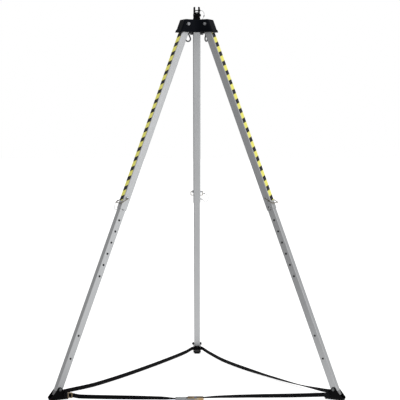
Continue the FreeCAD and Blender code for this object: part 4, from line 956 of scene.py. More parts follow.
@dataclass
class Ribbon:
    """Flat webbing that follows stations in one smooth line."""

    name: str
    stations: list[Station]
    width: float = 25.0
    thickness: float = 2.2
    step: float = 8.0
    seam_margin: float = 3.0
    stitch_pitch: float = 4.0
    stitch_rings: tuple[tuple[float, float], ...] = ((-1.4, 0.15), (-1.0, 0.5), (1.0, 0.5), (1.4, 0.15))
    samples: list[tuple[Vector, Vector, float, float]] = field(default_factory=list)

    def __post_init__(self) -> None:
        """Sample the line: point, way, roll and travelled length."""
        knots = self.stations
        travelled = 0.0
        last = None
        for index in range(len(knots) - 1):
            four = [knots[max(0, min(len(knots) - 1, index + k))] for k in (-1, 0, 1, 2)]
            span = (four[2].point - four[1].point).length
            count = max(2, int(span / (self.step * MM)))
            for part in range(count + (index == len(knots) - 2)):
                share = part / count
                point = self.curve([k.point for k in four], share)
                roll = four[1].roll + (four[2].roll - four[1].roll) * (share * share * (3 - 2 * share))
                if last is not None:
                    travelled += (point - last).length
                self.samples.append((point, Vector(), roll, travelled))
                last = point
        count = len(self.samples)
        for index, (point, _, roll, travel) in enumerate(self.samples):
            before = self.samples[max(index - 1, 0)][0]
            after = self.samples[min(index + 1, count - 1)][0]
            self.samples[index] = (point, (after - before).normalized(), roll, travel)

    @staticmethod
    def curve(four: Sequence[Vector], share: float) -> Vector:
        """Point between the middle two of four knots, on a curve that keeps close to short runs."""
        p0, p1, p2, p3 = four
        d0 = max((p1 - p0).length, 1e-6)
        d1 = max((p2 - p1).length, 1e-6)
        d2 = max((p3 - p2).length, 1e-6)
        m1 = ((p2 - p1) / d1 + (p1 - p0) / d0) * 0.5 * min(d0, d1) if d0 > 1e-5 else (p2 - p1)
        m2 = ((p3 - p2) / d2 + (p2 - p1) / d1) * 0.5 * min(d1, d2) if d2 > 1e-5 else (p2 - p1)
        s, s2, s3 = share, share * share, share ** 3
        return p1 * (2 * s3 - 3 * s2 + 1) + m1 * (s3 - 2 * s2 + s) + p2 * (3 * s2 - 2 * s3) + m2 * (s3 - s2)

    def axes(self, way: Vector, roll: float) -> tuple[Vector, Vector]:
        """Directions across the webbing and through it."""
        level = Vector((way.x, way.y, 0)).normalized()
        turn = Matrix.Rotation(math.radians(roll), 3, level)
        across = turn @ Vector((0, 0, 1))
        across = (across - way * across.dot(way)).normalized()
        return across, way.cross(across).normalized()

    @property
    def length(self) -> float:
        """Length of the webbing along its middle."""
        return self.samples[-1][3]

    def at(self, travel: float) -> tuple[Vector, Vector, Vector, Vector]:
        """Point, way, across and through at a travelled length."""
        best = min(self.samples, key=lambda sample: abs(sample[3] - travel))
        across, through = self.axes(best[1], best[2])
        return best[0], best[1], across, through

    def build(self, name: str, start: float, end: float) -> bpy.types.Object:
        """Make the stretch of webbing between two travelled lengths.

        Args:
            name: Name of the piece.
            start: Where the stretch starts.
            end: Where it ends.

        Returns:
            The piece, with its UV map counting in metres across and along.
        """
        frames = []
        for point, way, roll, travel in self.samples:
            if start - 1e-9 <= travel <= end + 1e-9:
                frames.append((point, *self.axes(way, roll), travel))
        return strip_piece(name, frames, webbing_section(self.width, self.thickness))

    def stitches(self, name: str, start: float, end: float) -> bpy.types.Object:
        """Sewn box with a cross in it, on both faces of the webbing.

        Args:
            name: Name of the piece.
            start: Travelled length where the box starts.
            end: Where it ends.

        Returns:
            The piece.
        """
        half = (self.width / 2 - self.seam_margin) * MM
        corners = [(start, -half), (end, -half), (end, half), (start, half)]
        runs = [(corners[i], corners[(i + 1) % 4]) for i in range(4)]
        runs += [(corners[0], corners[2]), (corners[1], corners[3])]
        points: list[Vector] = []
        faces: list[tuple[int, ...]] = []
        for (t0, w0), (t1, w1) in runs:
            count = max(2, int(math.hypot(t1 - t0, w1 - w0) / (self.stitch_pitch * MM)))
            for index in range(count):
                share = (index + 0.5) / count
                travel = t0 + (t1 - t0) * share
                point, way, across, through = self.at(travel)
                middle = point + way * (travel - self.travel_at(point)) + across * (w0 + (w1 - w0) * share)
                run = (way * (t1 - t0) + across * (w1 - w0)).normalized()
                for face in (-1.0, 1.0):
                    centre = middle + through * face * (self.thickness / 2 + 0.1) * MM
                    side_way = run.cross(through)
                    first = len(points)
                    for along, radius in self.stitch_rings:
                        for corner in range(6):
                            angle = corner * math.pi / 3
                            points.append(centre + run * along * MM + (side_way * math.cos(angle)
                                                                       + through * math.sin(angle)) * radius * MM)
                    for ring in range(3):
                        for corner in range(6):
                            a, b = first + ring * 6 + corner, first + ring * 6 + (corner + 1) % 6
                            faces.append((a, b, b + 6, a + 6))
                    faces += [tuple(range(first + 5, first - 1, -1)), tuple(range(first + 18, first + 24))]
        piece = Bench.mesh_piece(name, points, faces)
        Bench.outward(piece)
        Bench.smooth(piece, 50.0)
        return piece

    def travel_at(self, point: Vector) -> float:
        """Travelled length of the sample at a point."""
        return min(self.samples, key=lambda sample: (sample[0] - point).length)[3]

    def nearest(self, travel: float) -> float:
        """Travelled length of the sample nearest to a length."""
        return min((sample[3] for sample in self.samples), key=lambda value: abs(value - travel))


@dataclass
class WebbingRun:
    """One run of webbing that hangs between bodies, split where the legs' joints act on it."""

    ribbon: Ribbon
    nodes: tuple[str, ...]
    first: Side | None
    last: Side | None
    first_grip: float = 0.07
    last_grip: float = 0.07
    tilt_share: float = 0.14
    slide_share: float = 0.62
    sewn: tuple[tuple[float, float, str], ...] = ()

    def pieces(self, material: bpy.types.Material, thread: bpy.types.Material) -> list[bpy.types.Object]:
        """Make the run's pieces, ride each that one body holds, fix the rest into their meshes, and sew its boxes.

        Args:
            material: The webbing's finish.
            thread: The stitches' finish.

        Returns:
            The pieces in order.
        """
        name = self.ribbon.name
        total = self.ribbon.length
        middle = self.ribbon.nearest(total / 2)
        plan: list[tuple[str, float, float, str, str]] = []
        if self.first is None:
            middle = 0.0
        if self.last is None:
            middle = total
        if self.first is not None:
            plan += self.half_plan(0.0, middle, self.first_grip, self.first, forward=True)
        if self.last is not None:
            plan += self.half_plan(total, middle, self.last_grip, self.last, forward=False)
        made = []
        for label, start, end, body_a, body_b in plan:
            low, high = min(start, end), max(start, end)
            piece = self.ribbon.build(f"{name}_{label}", low, high)
            dress(piece, material)
            if body_a == body_b:
                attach(piece, body_a)
            else:
                self.ribbon.at(start)[0]
                self.ribbon.at(end)[0]
                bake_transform(piece)
            made.append(piece)
        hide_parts(*self.nodes)
        for index, (start, end, body) in enumerate(self.sewn):
            low, high = sorted(value if value >= 0 else total + value for value in (start, end))
            patch = self.ribbon.stitches(f"{name}_stitches_{index}", low, high)
            fit(patch, thread, body, "webbing_black")
            made.append(patch)
        return made

    def half_plan(self, foot_end: float, middle: float, grip: float, side: Side, forward: bool
                  ) -> list[tuple[str, float, float, str, str]]:
        """Stretches of one half: at the foot, over the foot's tilt, the leg's slide and its fold."""
        sign = 1.0 if forward else -1.0
        span = abs(middle - foot_end)
        held = self.ribbon.nearest(foot_end + sign * grip)
        tilt = self.ribbon.nearest(foot_end + sign * (grip + (span - grip) * self.tilt_share))
        slide = self.ribbon.nearest(foot_end + sign * (grip + (span - grip) * self.slide_share))
        leg = side.value
        return [
            (f"{leg}_held", foot_end, held, f"foot_{leg}", f"foot_{leg}"),
            (f"{leg}_low", held, tilt, f"foot_{leg}", f"lower_{leg}"),
            (f"{leg}_run", tilt, slide, f"lower_{leg}", f"upper_{leg}"),
            (f"{leg}_mid", slide, middle, f"upper_{leg}", "head"),
        ]


def tie_cable(shelf: Shelf, cable: bpy.types.Object, sleeves: list[bpy.types.Object],
              node: str) -> None:
    """Dress a wire cable and its sleeves, fix their transforms into their meshes and hide the carried-over node.

    Args:
        shelf: The finishes.
        cable: The cable.
        sleeves: Its ferrules.
        node: Carried-over node that the cable stands for.
    """
    dress(cable, shelf.cable)
    for piece in (cable, *sleeves):
        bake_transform(piece)
    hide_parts(node)
    for sleeve in sleeves:
        dress(sleeve, shelf.ferrule)


# ---------------------------------------------------------------- sub-assemblies


@dataclass
class Head:
    """Cast head with its hinge bolts, anchor eyes, pulley bracket and keeper pin."""

    places: dict[Side, LegPlace]
    shelf: Shelf
    ear_half: float = 39.0
    eye_turns: dict[Side, float] = field(default_factory=lambda: {Side.LEFT: 8.0, Side.RIGHT: 62.0})
    bolt: HexBolt = field(default_factory=lambda: HexBolt(
        flats=18.0, head=7.5, shank=6.0, washer_radius=10.4, washer=2.0, nut=10.0, tail=3.0))

    def build(self) -> list[str]:
        """Dress the casting and fit the fine fasteners.

        Returns:
            Names of the pieces made.
        """
        shelf = self.shelf
        dress_node("head_casting", shelf.cast_black)
        dress_node("pulley_bracket", shelf.plate_black)
        dress_node("sheave", shelf.nylon_white)
        bolts = []
        nuts = []
        for side, place in self.places.items():
            bolts.append(Bench.seat(self.bolt.bolt(f"hinge_bolt_{side.value}", self.ear_half), place.leg))
            nuts.append(Bench.seat(self.bolt.nut_piece(f"hinge_nut_{side.value}", self.ear_half), place.leg))
        for name, parts, node in (("hinge_bolt_set", bolts, "hinge_bolts"), ("hinge_nut_set", nuts, "hinge_nuts")):
            piece = Bench.join(name, parts)
            fit(piece, shelf.bolt_zinc, "head", "zinc_steel", node)
        names = ["hinge_bolt_set", "hinge_nut_set", self.bracket_bolts(), self.axle(), self.keeper()]
        names += self.keeper_cable()
        names += [self.anchor_eye(side, turn) for side, turn in self.eye_turns.items()]
        names.append(self.cable_guard())
        return names

    def cable_guard(self) -> str:
        """Bent black plate with a round notch in front of the cheeks, a dark sheet over the sheave's lower half
        that stands in for the shade between the cheeks.

        Returns:
            Name of the piece.
        """
        sheave = Vector(joint_named("turn_sheave")["pos_m"])
        low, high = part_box("pulley_bracket")
        half, lip, notch, dip = 20.0, 17.0, 8.5, 8.5
        face, depth, wrap = -32.8, 4.0, 18.5
        floor = (low.z - sheave.z) / MM + 8.0
        crown = (high.z - sheave.z) / MM - 0.6
        turns = [math.pi * step / 16 for step in range(17)]
        side = [(half, floor), (half, crown - 5.0), (half - 1.5, crown - 1.5), (half - 5.0, crown), (notch, crown)]
        outline = [(-x, z) for x, z in side]
        outline += [(-notch * math.cos(turn), dip + notch - notch * math.sin(turn)) for turn in turns]
        outline += reversed(side)
        # Painted shade: a black sheet across the front, over the sheave's lower half, where that half sits in
        # shade between the cheeks.
        parts = [Bench.prism("guard_front", [[(x, y, z) for x, z in outline] for y in (face, face + depth)])]
        for hand in (-1.0, 1.0):
            inner, outer = lip * hand, half * hand
            section = [(inner, face + 1.0), (outer, face + 1.0), (outer, face + wrap - 3.0), (outer, face + wrap),
                       (inner, face + wrap)]
            parts.append(Bench.prism("guard_flange", [[(x, y, z) for x, y in section]
                                                      for z in (floor, crown - 6.0)]))
        for part in parts:
            Bench.bevel_all(part, 0.7, 2, 50.0)
        piece = Bench.join("cable_guard", parts)
        Bench.smooth(piece, 40.0)
        Bench.seat(piece, Matrix.Translation(sheave))
        return fit(piece, self.shelf.plate_black, "head", "black_steel")

    def anchor_eye(self, side: Side, turn: float) -> str:
        """Forged pear shaped eye with its collar, threaded stem and nut.

        Args:
            side: The hand of the head that it hangs from.
            turn: How far the eye is turned about its stem, in degrees.

        Returns:
            Name of the piece.
        """
        low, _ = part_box(f"anchor_eye_{side.value}")
        wire, radius, neck = 4.5, 15.5, 5.8
        middle = wire + radius
        shoulder = middle + 26.0
        lean = math.atan2(radius - neck, shoulder - middle)
        joint = Vector((radius * math.cos(lean), 0, middle + radius * math.sin(lean)))
        tail = [Vector((neck, 0, shoulder)).lerp(joint, part / 6) for part in range(6)]
        sweep = [lean - (math.pi + 2 * lean) * part / 40 for part in range(41)]
        arc = [Vector((radius * math.cos(angle), 0, middle + radius * math.sin(angle))) for angle in sweep]
        line = tail + arc + [Vector((-point.x, 0, point.z)) for point in reversed(tail)]
        parts = [tube_piece(f"eye_{side.value}", [point * MM for point in line], wire, 20)]
        upright = Matrix.Rotation(-math.pi / 2, 4, "Y")
        collar = Bench.cylinder("eye_collar", 9.5, middle + 23.5, middle + 33.0, 48)
        Bench.rim(collar, middle + 23.5, 3.2, 5)
        Bench.rim(collar, middle + 33.0, 0.8, 2)
        Bench.smooth(collar, 40.0)
        maker = HexBolt(flats=19.0, head=8.0, shank=6.0)
        seat = middle + 55.6
        steel = (collar, maker.threads("eye_stem", middle + 30.0, seat + 10.0),
                 maker.hexagon("eye_nut", seat, seat + 8.0, 1))
        parts += [Bench.seat(part, upright) for part in steel]
        piece = Bench.join(f"anchor_eye_fine_{side.value}", parts)
        place = Vector(joint_named(f"swivel_eye_{side.value}")["pos_m"])
        turned = Matrix.Rotation(math.radians(turn), 4, "Z")
        Bench.seat(piece, Matrix.Translation((place.x, place.y, low.z)) @ turned)
        return fit(piece, self.shelf.eye_steel, f"eye_{side.value}", "eye_steel", f"anchor_eye_{side.value}")

    def bracket_bolts(self) -> str:
        """Four chamfered bolts on the bracket's base."""
        low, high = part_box("bracket_bolts")
        maker = HexBolt(flats=13.0, head=5.5, shank=4.0)
        upright = Matrix.Rotation(-math.pi / 2, 4, "Y")
        radius = maker.flats / math.sqrt(3.0) * MM
        heads = []
        for x in (low.x + radius, high.x - radius):
            for y in (low.y + radius * math.cos(math.pi / 6), high.y - radius * math.cos(math.pi / 6)):
                head = maker.hexagon("bracket_bolt", 0.0, maker.head, 1)
                Bench.seat(head, Matrix.Rotation(math.pi / 2, 4, "X"))
                Bench.seat(head, Matrix.Translation((x, y, high.z - maker.head * MM)) @ upright)
                shank = Bench.cylinder("bracket_bolt_shank", maker.shank, -17.0, 0.5, 24)
                Bench.seat(shank, Matrix.Translation((x, y, high.z - maker.head * MM)) @ upright)
                heads += [head, shank]
        piece = Bench.join("bracket_bolt_set", heads)
        return fit(piece, self.shelf.plate_black, "head", "black_steel", "bracket_bolts")

    def axle(self) -> str:
        """Axle bolt of the sheave."""
        maker = HexBolt(flats=17.0, head=5.5, shank=6.0, nut=8.0, tail=2.0)
        half = -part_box("sheave_axle")[0].x / MM - maker.head
        joint = joint_named("turn_sheave")
        flip = Matrix.Translation(Vector(joint["pos_m"])) @ Matrix.Rotation(math.pi, 4, "Z")
        bolt = maker.bolt("sheave_axle_bolt", half)
        nut = maker.nut_piece("sheave_axle_nut", half)
        piece = Bench.join("sheave_axle_set", [bolt, nut])
        Bench.seat(piece, flip)
        return fit(piece, self.shelf.eye_steel, "head", "zinc_steel", "sheave_axle")

    def keeper(self) -> str:
        """Thin pin over the sheave with a grooved knob and a pointed end."""
        low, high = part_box("keeper_pin")
        centre = (low + high) / 2
        knob = 7.0
        shank = Bench.cylinder("keeper_fine", 3.0, low.x / MM, high.x / MM - knob + 0.5, 24)
        Bench.bevel_all(shank, 1.0, 3, 40.0)
        head = Bench.cylinder("keeper_knob", 5.0, high.x / MM - knob, high.x / MM, 32)
        middle = high.x - knob / 2 * MM
        Bench.turn_rings(head, 3, lambda x: 0.78 if abs(x - middle) < 0.3 * MM else 1.0)
        Bench.bevel_all(head, 0.4, 2, 30.0)
        piece = Bench.join("keeper_fine", [shank, head])
        Bench.seat(piece, Matrix.Translation((0, centre.y, centre.z)))
        Bench.smooth(piece, 40.0)
        return fit(piece, self.shelf.eye_steel, "keeper", "zinc_steel", "keeper_pin")

    def keeper_cable(self) -> list[str]:
        """Thin cable from the keeper pin to the bracket, with its ferrule."""
        low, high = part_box("keeper_pin")
        start = Vector((high.x, (low.y + high.y) / 2, (low.z + high.z) / 2))
        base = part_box("pulley_bracket")
        end = Vector((22.0 * MM, start.y - 10.0 * MM, base[0].z + 4.0 * MM))
        shift = [(10, 0, 0), (20, -2, -12), (23, -5, -27), (19, -8, -42)]
        route = [start] + [start + Vector(step) * MM for step in shift]
        route += [end + Vector((12, 0, 0)) * MM, end]
        line = spline_points("keeper_line", route)
        cable = tube_piece("keeper_cable", line, 1.0)
        low_run = route[3].lerp(route[4], 0.5)
        place = min(range(len(line)), key=lambda i: (line[i] - low_run).length)
        reach = [i for i in range(len(line)) if abs(path_length(line[min(i, place):max(i, place) + 1])) < 6.5 * MM]
        ferrule = tube_piece("keeper_ferrule", line[reach[0]:reach[-1] + 1], 2.6, 16)
        Bench.bevel_all(ferrule, 0.5, 2, 50.0)
        tie_cable(self.shelf, cable, [ferrule], "keeper_lanyard")
        return [cable.name, ferrule.name]


@dataclass
class Leg:
    """One telescopic leg with its tape, lock pin, bail, cable and hinged foot."""

    place: LegPlace
    shelf: Shelf
    pin_station: float = 1124.0
    tube_axis: float = -9.0
    side_face: float = 23.5
    tube_end: float = 1196.0
    pin_radius: float = 6.0
    tip_reach: float = 10.5
    foot_half: float = 26.0
    pin_head_gap: float = 0.3
    pin_head: float = 8.0
    bail_slope: float = 51.0
    bail_wire: float = 2.2
    bail_length: float = 54.0
    cable_reach: float = 30.0
    rivet_rise: float = 18.0

    @property
    def label(self) -> str:
        """The leg's name."""
        return self.place.side.value

    def build(self) -> list[str]:
        """Dress the leg's nodes and make its fine pieces.

        Returns:
            Names of the pieces made.
        """
        side = self.place.side
        shelf = self.shelf
        looks = {"upper_tube": shelf.tube[side], "lower_tube": shelf.tube[side], "hazard_tape": shelf.tape[side],
                 "hinge_bush": shelf.zinc, "guide_liner": shelf.nylon_black, "top_guide": shelf.nylon_black,
                 "foot_plug": shelf.plug_grey, "foot_fork": shelf.plate_black, "foot_pad": shelf.rubber}
        for node, material in looks.items():
            dress_node(f"{node}_{self.label}", material)
        return [self.lock_pin(), self.bail(), *self.cable(), self.foot_bolt()]

    def lock_pin(self) -> str:
        """Round pin with a domed, drilled head and a grooved tip."""
        seat = self.side_face + self.pin_head_gap
        tip = -self.side_face - self.tip_reach
        shank = Bench.cylinder("shank", self.pin_radius, tip, seat + 0.2, 40)
        Bench.rim(shank, tip, 1.6, 3)
        Bench.turn_rings(shank, 40, lambda x: 0.8 if (tip + 3.0) * MM < x < (tip + 5.2) * MM else 1.0)
        head = Bench.cylinder("head", 9.0, seat, seat + self.pin_head, 48)
        Bench.rim(head, seat + self.pin_head, 2.2, 4)
        Bench.rim(head, seat, 0.6, 2)
        piece = Bench.join(f"lock_pin_fine_{self.label}", [shank, head])
        Bench.smooth(piece, 40.0)
        Bench.seat(piece, self.place.leg @ Matrix.Translation((0, self.tube_axis * MM, self.pin_station * MM)))
        return fit(piece, self.shelf.zinc, f"pin_{self.label}", "zinc_steel", f"lock_pin_{self.label}")

    def bail_point(self, x: float, reach: float) -> Vector:
        """Point in the bail's sloping plane, in the row frame."""
        slope = math.radians(self.bail_slope)
        return self.place.leg_point(x, self.tube_axis + reach * math.cos(slope),
                                    self.pin_station + reach * math.sin(slope))

    @property
    def far_side(self) -> float:
        """Place of the bail's far side along the pin."""
        return -self.side_face - self.tip_reach - 1.0 - self.bail_wire

    def bail(self) -> str:
        """Spring wire from the pin's head round the leg to its tip."""
        head_face = self.side_face + self.pin_head_gap + self.pin_head
        near = self.side_face + 16.5
        far = self.far_side
        top = self.bail_length
        corners = [(head_face - 2.0, 0.0), (near - 3.0, 0.0), (near, 1.5), (near, 8.0), (near, top - 8.0),
                   (near, top - 2.0), (near - 3.0, top), (near - 10.0, top), (far + 10.0, top), (far + 3.0, top),
                   (far, top - 2.0), (far, top - 8.0), (far, 6.0), (far, 0.0), (far, -2 * self.bail_wire)]
        line = spline_points("bail_line", [self.bail_point(x, reach) for x, reach in corners], 8)
        piece = tube_piece(f"pin_bail_fine_{self.label}", line, self.bail_wire, 16)
        Bench.bevel_all(piece, 0.7, 3, 60.0)
        return fit(piece, self.shelf.bail_zinc, f"pin_{self.label}", "yellow_zinc", f"pin_bail_{self.label}")

    def cable(self) -> list[str]:
        """Thin cable from the bail to the tube, with a ferrule at each end and a rivet."""
        slope = math.radians(self.bail_slope)
        begin = Vector((self.far_side - 2.5, self.tube_axis + self.cable_reach * math.cos(slope),
                        self.pin_station + self.cable_reach * math.sin(slope)))
        finish = Vector((-self.side_face, self.tube_axis, self.tube_end - self.rivet_rise))
        first = [(0, 0, 0), (-16, 0, 0), (-31, -1, 9), (-37, -3, 28), (-33, -6, 48), (-19, -9, 62)]
        route = [begin + Vector(step) for step in first]
        route += [finish + Vector((-22, 2, 15)), finish + Vector((-13, 0, 0)), finish]
        line = spline_points("lanyard_line", [self.place.leg_point(*point) for point in route])
        cable = tube_piece(f"pin_cable_{self.label}", line, 1.0)
        last = len(line) - 1
        near_end = next(i for i in range(last, 0, -1) if path_length(line[i:]) > 14 * MM)
        near_start = next(i for i in range(1, last) if path_length(line[:i + 1]) > 14 * MM)
        skip = next(i for i in range(1, last) if path_length(line[:i + 1]) > 3 * MM)
        sleeves = []
        for name, stretch in (("near_bail", line[skip:near_start]), ("near_tube", line[near_end:last])):
            sleeves.append(tube_piece(f"cable_sleeve_{name}_{self.label}", stretch, 2.6, 14))
        rivet = Bench.cylinder(f"cable_rivet_{self.label}", 5.0, -2.4, 0.4, 32)
        Bench.rim(rivet, -2.4, 1.6, 4)
        Bench.smooth(rivet, 40.0)
        Bench.seat(rivet, self.place.leg @ Matrix.Translation(
            (-self.side_face * MM, self.tube_axis * MM, (self.tube_end - self.rivet_rise) * MM)))
        fit(rivet, self.shelf.zinc, f"upper_{self.label}", "zinc_steel")
        tie_cable(self.shelf, cable, sleeves,
                  f"pin_lanyard_{self.label}")
        return [cable.name, rivet.name]

    def foot_bolt(self) -> str:
        """Pivot bolt of the foot with its locking nut."""
        maker = HexBolt(flats=17.0, head=6.4, shank=5.0, nut=8.0, tail=2.0)
        bolt = maker.bolt("foot_bolt_head", self.foot_half)
        nut = maker.nut_piece("foot_bolt_nut", self.foot_half)
        piece = Bench.join(f"foot_bolt_fine_{self.label}", [bolt, nut])
        Bench.seat(piece, self.place.foot)
        return fit(piece, self.shelf.eye_steel, f"foot_{self.label}", "zinc_steel", f"foot_bolt_{self.label}")


@dataclass
class FootWebbing:
    """Webbing tied between the feet, with its ring, buckle and stitching."""

    places: dict[Side, LegPlace]
    shelf: Shelf
    exit_reach: float = 34.0
    setback: float = 20.0
    ring_reach: float = 13.8
    spool_reach: float = 7.7
    bar: tuple[float, float, float] = (-44.3, 0.0, -2.7)
    roll_turns: float = 2.0
    roll_core: float = 5.55
    roll_pitch: float = 0.8
    roll_mean: float = 6.5

    def at_foot(self, side: Side, across: float, height: float) -> Vector:
        """Place where the webbing crosses a foot, by its offset along the foot bolt."""
        return self.places[side].foot_point(across, -self.setback, height)

    def share(self, first: Vector, last: Vector, part: float, height: float, inward: float) -> Vector:
        """Place on the way between two points at a given height, drawn in towards the tripod's axis."""
        point = first.lerp(last, part)
        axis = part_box("head_casting")
        middle = (first + last) / 2 - (axis[0] + axis[1]) / 2
        pull = Vector((middle.x, middle.y, 0)).normalized() * inward * MM
        return Vector((point.x, point.y, height * MM)) - pull

    def route(self, first: Vector, last: Vector,
              table: Sequence[tuple[float, float, float, float]]) -> list[Station]:
        """Stations between two points: share of the way, height, pull towards the axis, and roll."""
        return [Station(self.share(first, last, part, height, inward), roll)
                for part, height, inward, roll in table]

    @property
    def ring_centre(self) -> Vector:
        """Centre of the ring by the left foot."""
        low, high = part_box("strap_ring")
        return (low + high) / 2

    @property
    def spool_centre(self) -> Vector:
        """Centre of the buckle's spool."""
        return Vector(joint_named("turn_buckle_spool")["pos_m"])

    def build(self) -> list[str]:
        """Make all webbing and the buckle.

        Returns:
            Names of the pieces made.
        """
        return [*self.left_run(), *self.right_run(), *self.front_runs(), *self.buckle()]

    def left_run(self) -> list[str]:
        """Webbing from the ring through the left foot to the rear foot."""
        ring = self.ring_centre - Vector((self.ring_reach * MM, 0, 0))
        corner = self.at_foot(Side.LEFT, -self.exit_reach, 33.0)
        leave = self.at_foot(Side.LEFT, self.exit_reach, 31.0)
        arrive = self.at_foot(Side.REAR, -self.exit_reach, 30.5)
        end = self.at_foot(Side.REAR, -0.15, 33.5)
        stations = [Station(ring, 0), Station(corner, 0), Station(self.at_foot(Side.LEFT, 0.0, 33.5), 0),
                    Station(leave, 0)]
        stations += self.route(leave, arrive, (
            (0.06, 27.0, 4.0, -2), (0.20, 17.0, 20.0, -4), (0.40, 14.0, 26.0, -6), (0.65, 15.0, 20.0, -6),
            (0.85, 19.0, 11.0, -4), (0.94, 23.0, 5.0, -2)))
        stations += [Station(arrive, 0), Station(end, 0)]
        ribbon = Ribbon("webbing_left", stations)
        sewn = ((0.003, 0.019, "foot_left"), (0.095, 0.118, "foot_left"), (-0.066, -0.040, "foot_rear"))
        run = WebbingRun(ribbon, ("strap_left",), Side.LEFT, Side.REAR, first_grip=0.12, sewn=sewn)
        return [piece.name for piece in run.pieces(self.shelf.webbing, self.shelf.thread)]

    def right_run(self) -> list[str]:
        """Webbing from the rear foot to the right foot, lying slack on the floor midway."""
        begin = self.at_foot(Side.REAR, 0.15, 33.5)
        leave = self.at_foot(Side.REAR, self.exit_reach, 32.0)
        arrive = self.at_foot(Side.RIGHT, -self.exit_reach, 34.0)
        end = self.at_foot(Side.RIGHT, -0.15, 34.0)
        stations = [Station(begin, 0), Station(leave, 0)]
        stations += self.route(leave, arrive, (
            (0.06, 23.0, 8.0, 0), (0.22, 14.0, 38.0, 2), (0.40, 14.0, 54.0, 8), (0.62, 12.0, 40.0, 38),
            (0.80, 14.0, 18.0, 60), (0.94, 25.0, 4.0, 18)))
        stations += [Station(arrive, 0), Station(end, 0)]
        sewn = ((0.040, 0.066, "foot_rear"), (-0.066, -0.040, "foot_right"))
        run = WebbingRun(Ribbon("webbing_right", stations), ("strap_right",), Side.REAR, Side.RIGHT, sewn=sewn)
        return [piece.name for piece in run.pieces(self.shelf.webbing, self.shelf.thread)]

    def ring_tail(self, before: Vector, after: Vector) -> str:
        """Doubled end of the webbing, lying behind the ring.

        Args:
            before: Direction from the ring to the foot.
            after: Direction from the ring to the buckle.

        Returns:
            Name of the piece.
        """
        reach, bend, drop, behind = 26.0, 14.0, 0.55, Vector((0, 4.5, 0))
        path = [before * reach + behind * drop, before * bend + behind, behind,
                after * bend + behind, after * reach + behind * drop]
        frames = []
        travel = 0.0
        for index, step in enumerate(path):
            run = (path[min(index + 1, len(path) - 1)] - path[max(index - 1, 0)]).normalized()
            across = (Vector((0, 0, 1)) - run * run.z).normalized()
            travel += (step - path[max(index - 1, 0)]).length * MM
            frames.append((self.ring_centre + step * MM, across, run.cross(across), travel))
        piece = strip_piece("ring_tail", frames, webbing_section(24.0, 2.0))
        return fit(piece, self.shelf.webbing, "foot_left", "webbing_black")

    def front_runs(self) -> list[str]:
        """Front webbing: right foot to spool, and ring to the buckle's bar."""
        start = self.at_foot(Side.RIGHT, 0.15, 34.0)
        corner = self.at_foot(Side.RIGHT, self.exit_reach, 33.0)
        spool = self.spool_centre + Vector((self.spool_reach * MM, 0, 0))
        stations = [Station(start, 0), Station(corner, 0)]
        stations += self.route(corner, spool, (
            (0.06, 31.0, 0, -4), (0.25, 27.0, 0, -8), (0.45, 25.0, 0, -14), (0.65, 23.0, 0, -28),
            (0.85, 19.0, 0, -45), (0.94, 15.0, 0, -58)))
        stations.append(Station(spool, -90))
        right = WebbingRun(Ribbon("webbing_front_right", stations), ("strap_front_right",), Side.RIGHT, None,
                           sewn=((0.040, 0.066, "foot_right"),))
        made = [piece.name for piece in right.pieces(self.shelf.webbing, self.shelf.thread)]
        ring = self.ring_centre + Vector((self.ring_reach * MM, 0, 0))
        bar = self.spool_centre + Vector(self.bar) * MM
        stations = [Station(ring, 0)]
        stations += self.route(ring, bar, (
            (0.06, 22.0, 0, 0), (0.25, 18.5, 0, 3), (0.5, 15.5, 0, 10), (0.75, 12.5, 0, 28), (0.9, 8.5, 0, 60)))
        stations.append(Station(bar, 90))
        left = WebbingRun(Ribbon("webbing_front_left", stations), ("strap_front_left",), Side.LEFT, None, 0.05,
                          sewn=((0.004, 0.040, "foot_left"), (-0.040, -0.004, "head")))
        made += [piece.name for piece in left.pieces(self.shelf.webbing, self.shelf.thread)]
        middle = self.ring_centre
        away = (bar - middle).normalized()
        corner = (self.at_foot(Side.LEFT, -self.exit_reach, 33.0) - middle).normalized()
        made.append(self.ring_tail(corner, away))
        return made

    def buckle(self) -> list[str]:
        """Dress the buckle's nodes and wind the blue webbing on its spool."""
        for node in ("strap_ring", "buckle_frame", "buckle_spool"):
            dress_node(node, self.shelf.yellow_zinc)
        dress_node("buckle_lever", self.shelf.bolt_zinc)
        dress_node("buckle_grip", self.shelf.grip)
        middle = self.spool_centre
        frames = []
        steps = 96
        for index in range(steps + 1):
            angle = 2.0 * self.roll_turns * math.pi * index / steps
            radius = (self.roll_core + self.roll_pitch * angle / (2.0 * math.pi)) * MM
            out = Vector((math.cos(angle), 0, math.sin(angle)))
            frames.append((middle + out * radius, Vector((0, 1, 0)), out, angle * self.roll_mean * MM))
        roll = strip_piece("webbing_roll", frames, webbing_section(25.0, 0.75))
        fit(roll, self.shelf.blue, "buckle_spool", "webbing_blue", "spool_wrap")
        return ["buckle", roll.name]


# ---------------------------------------------------------------- studio


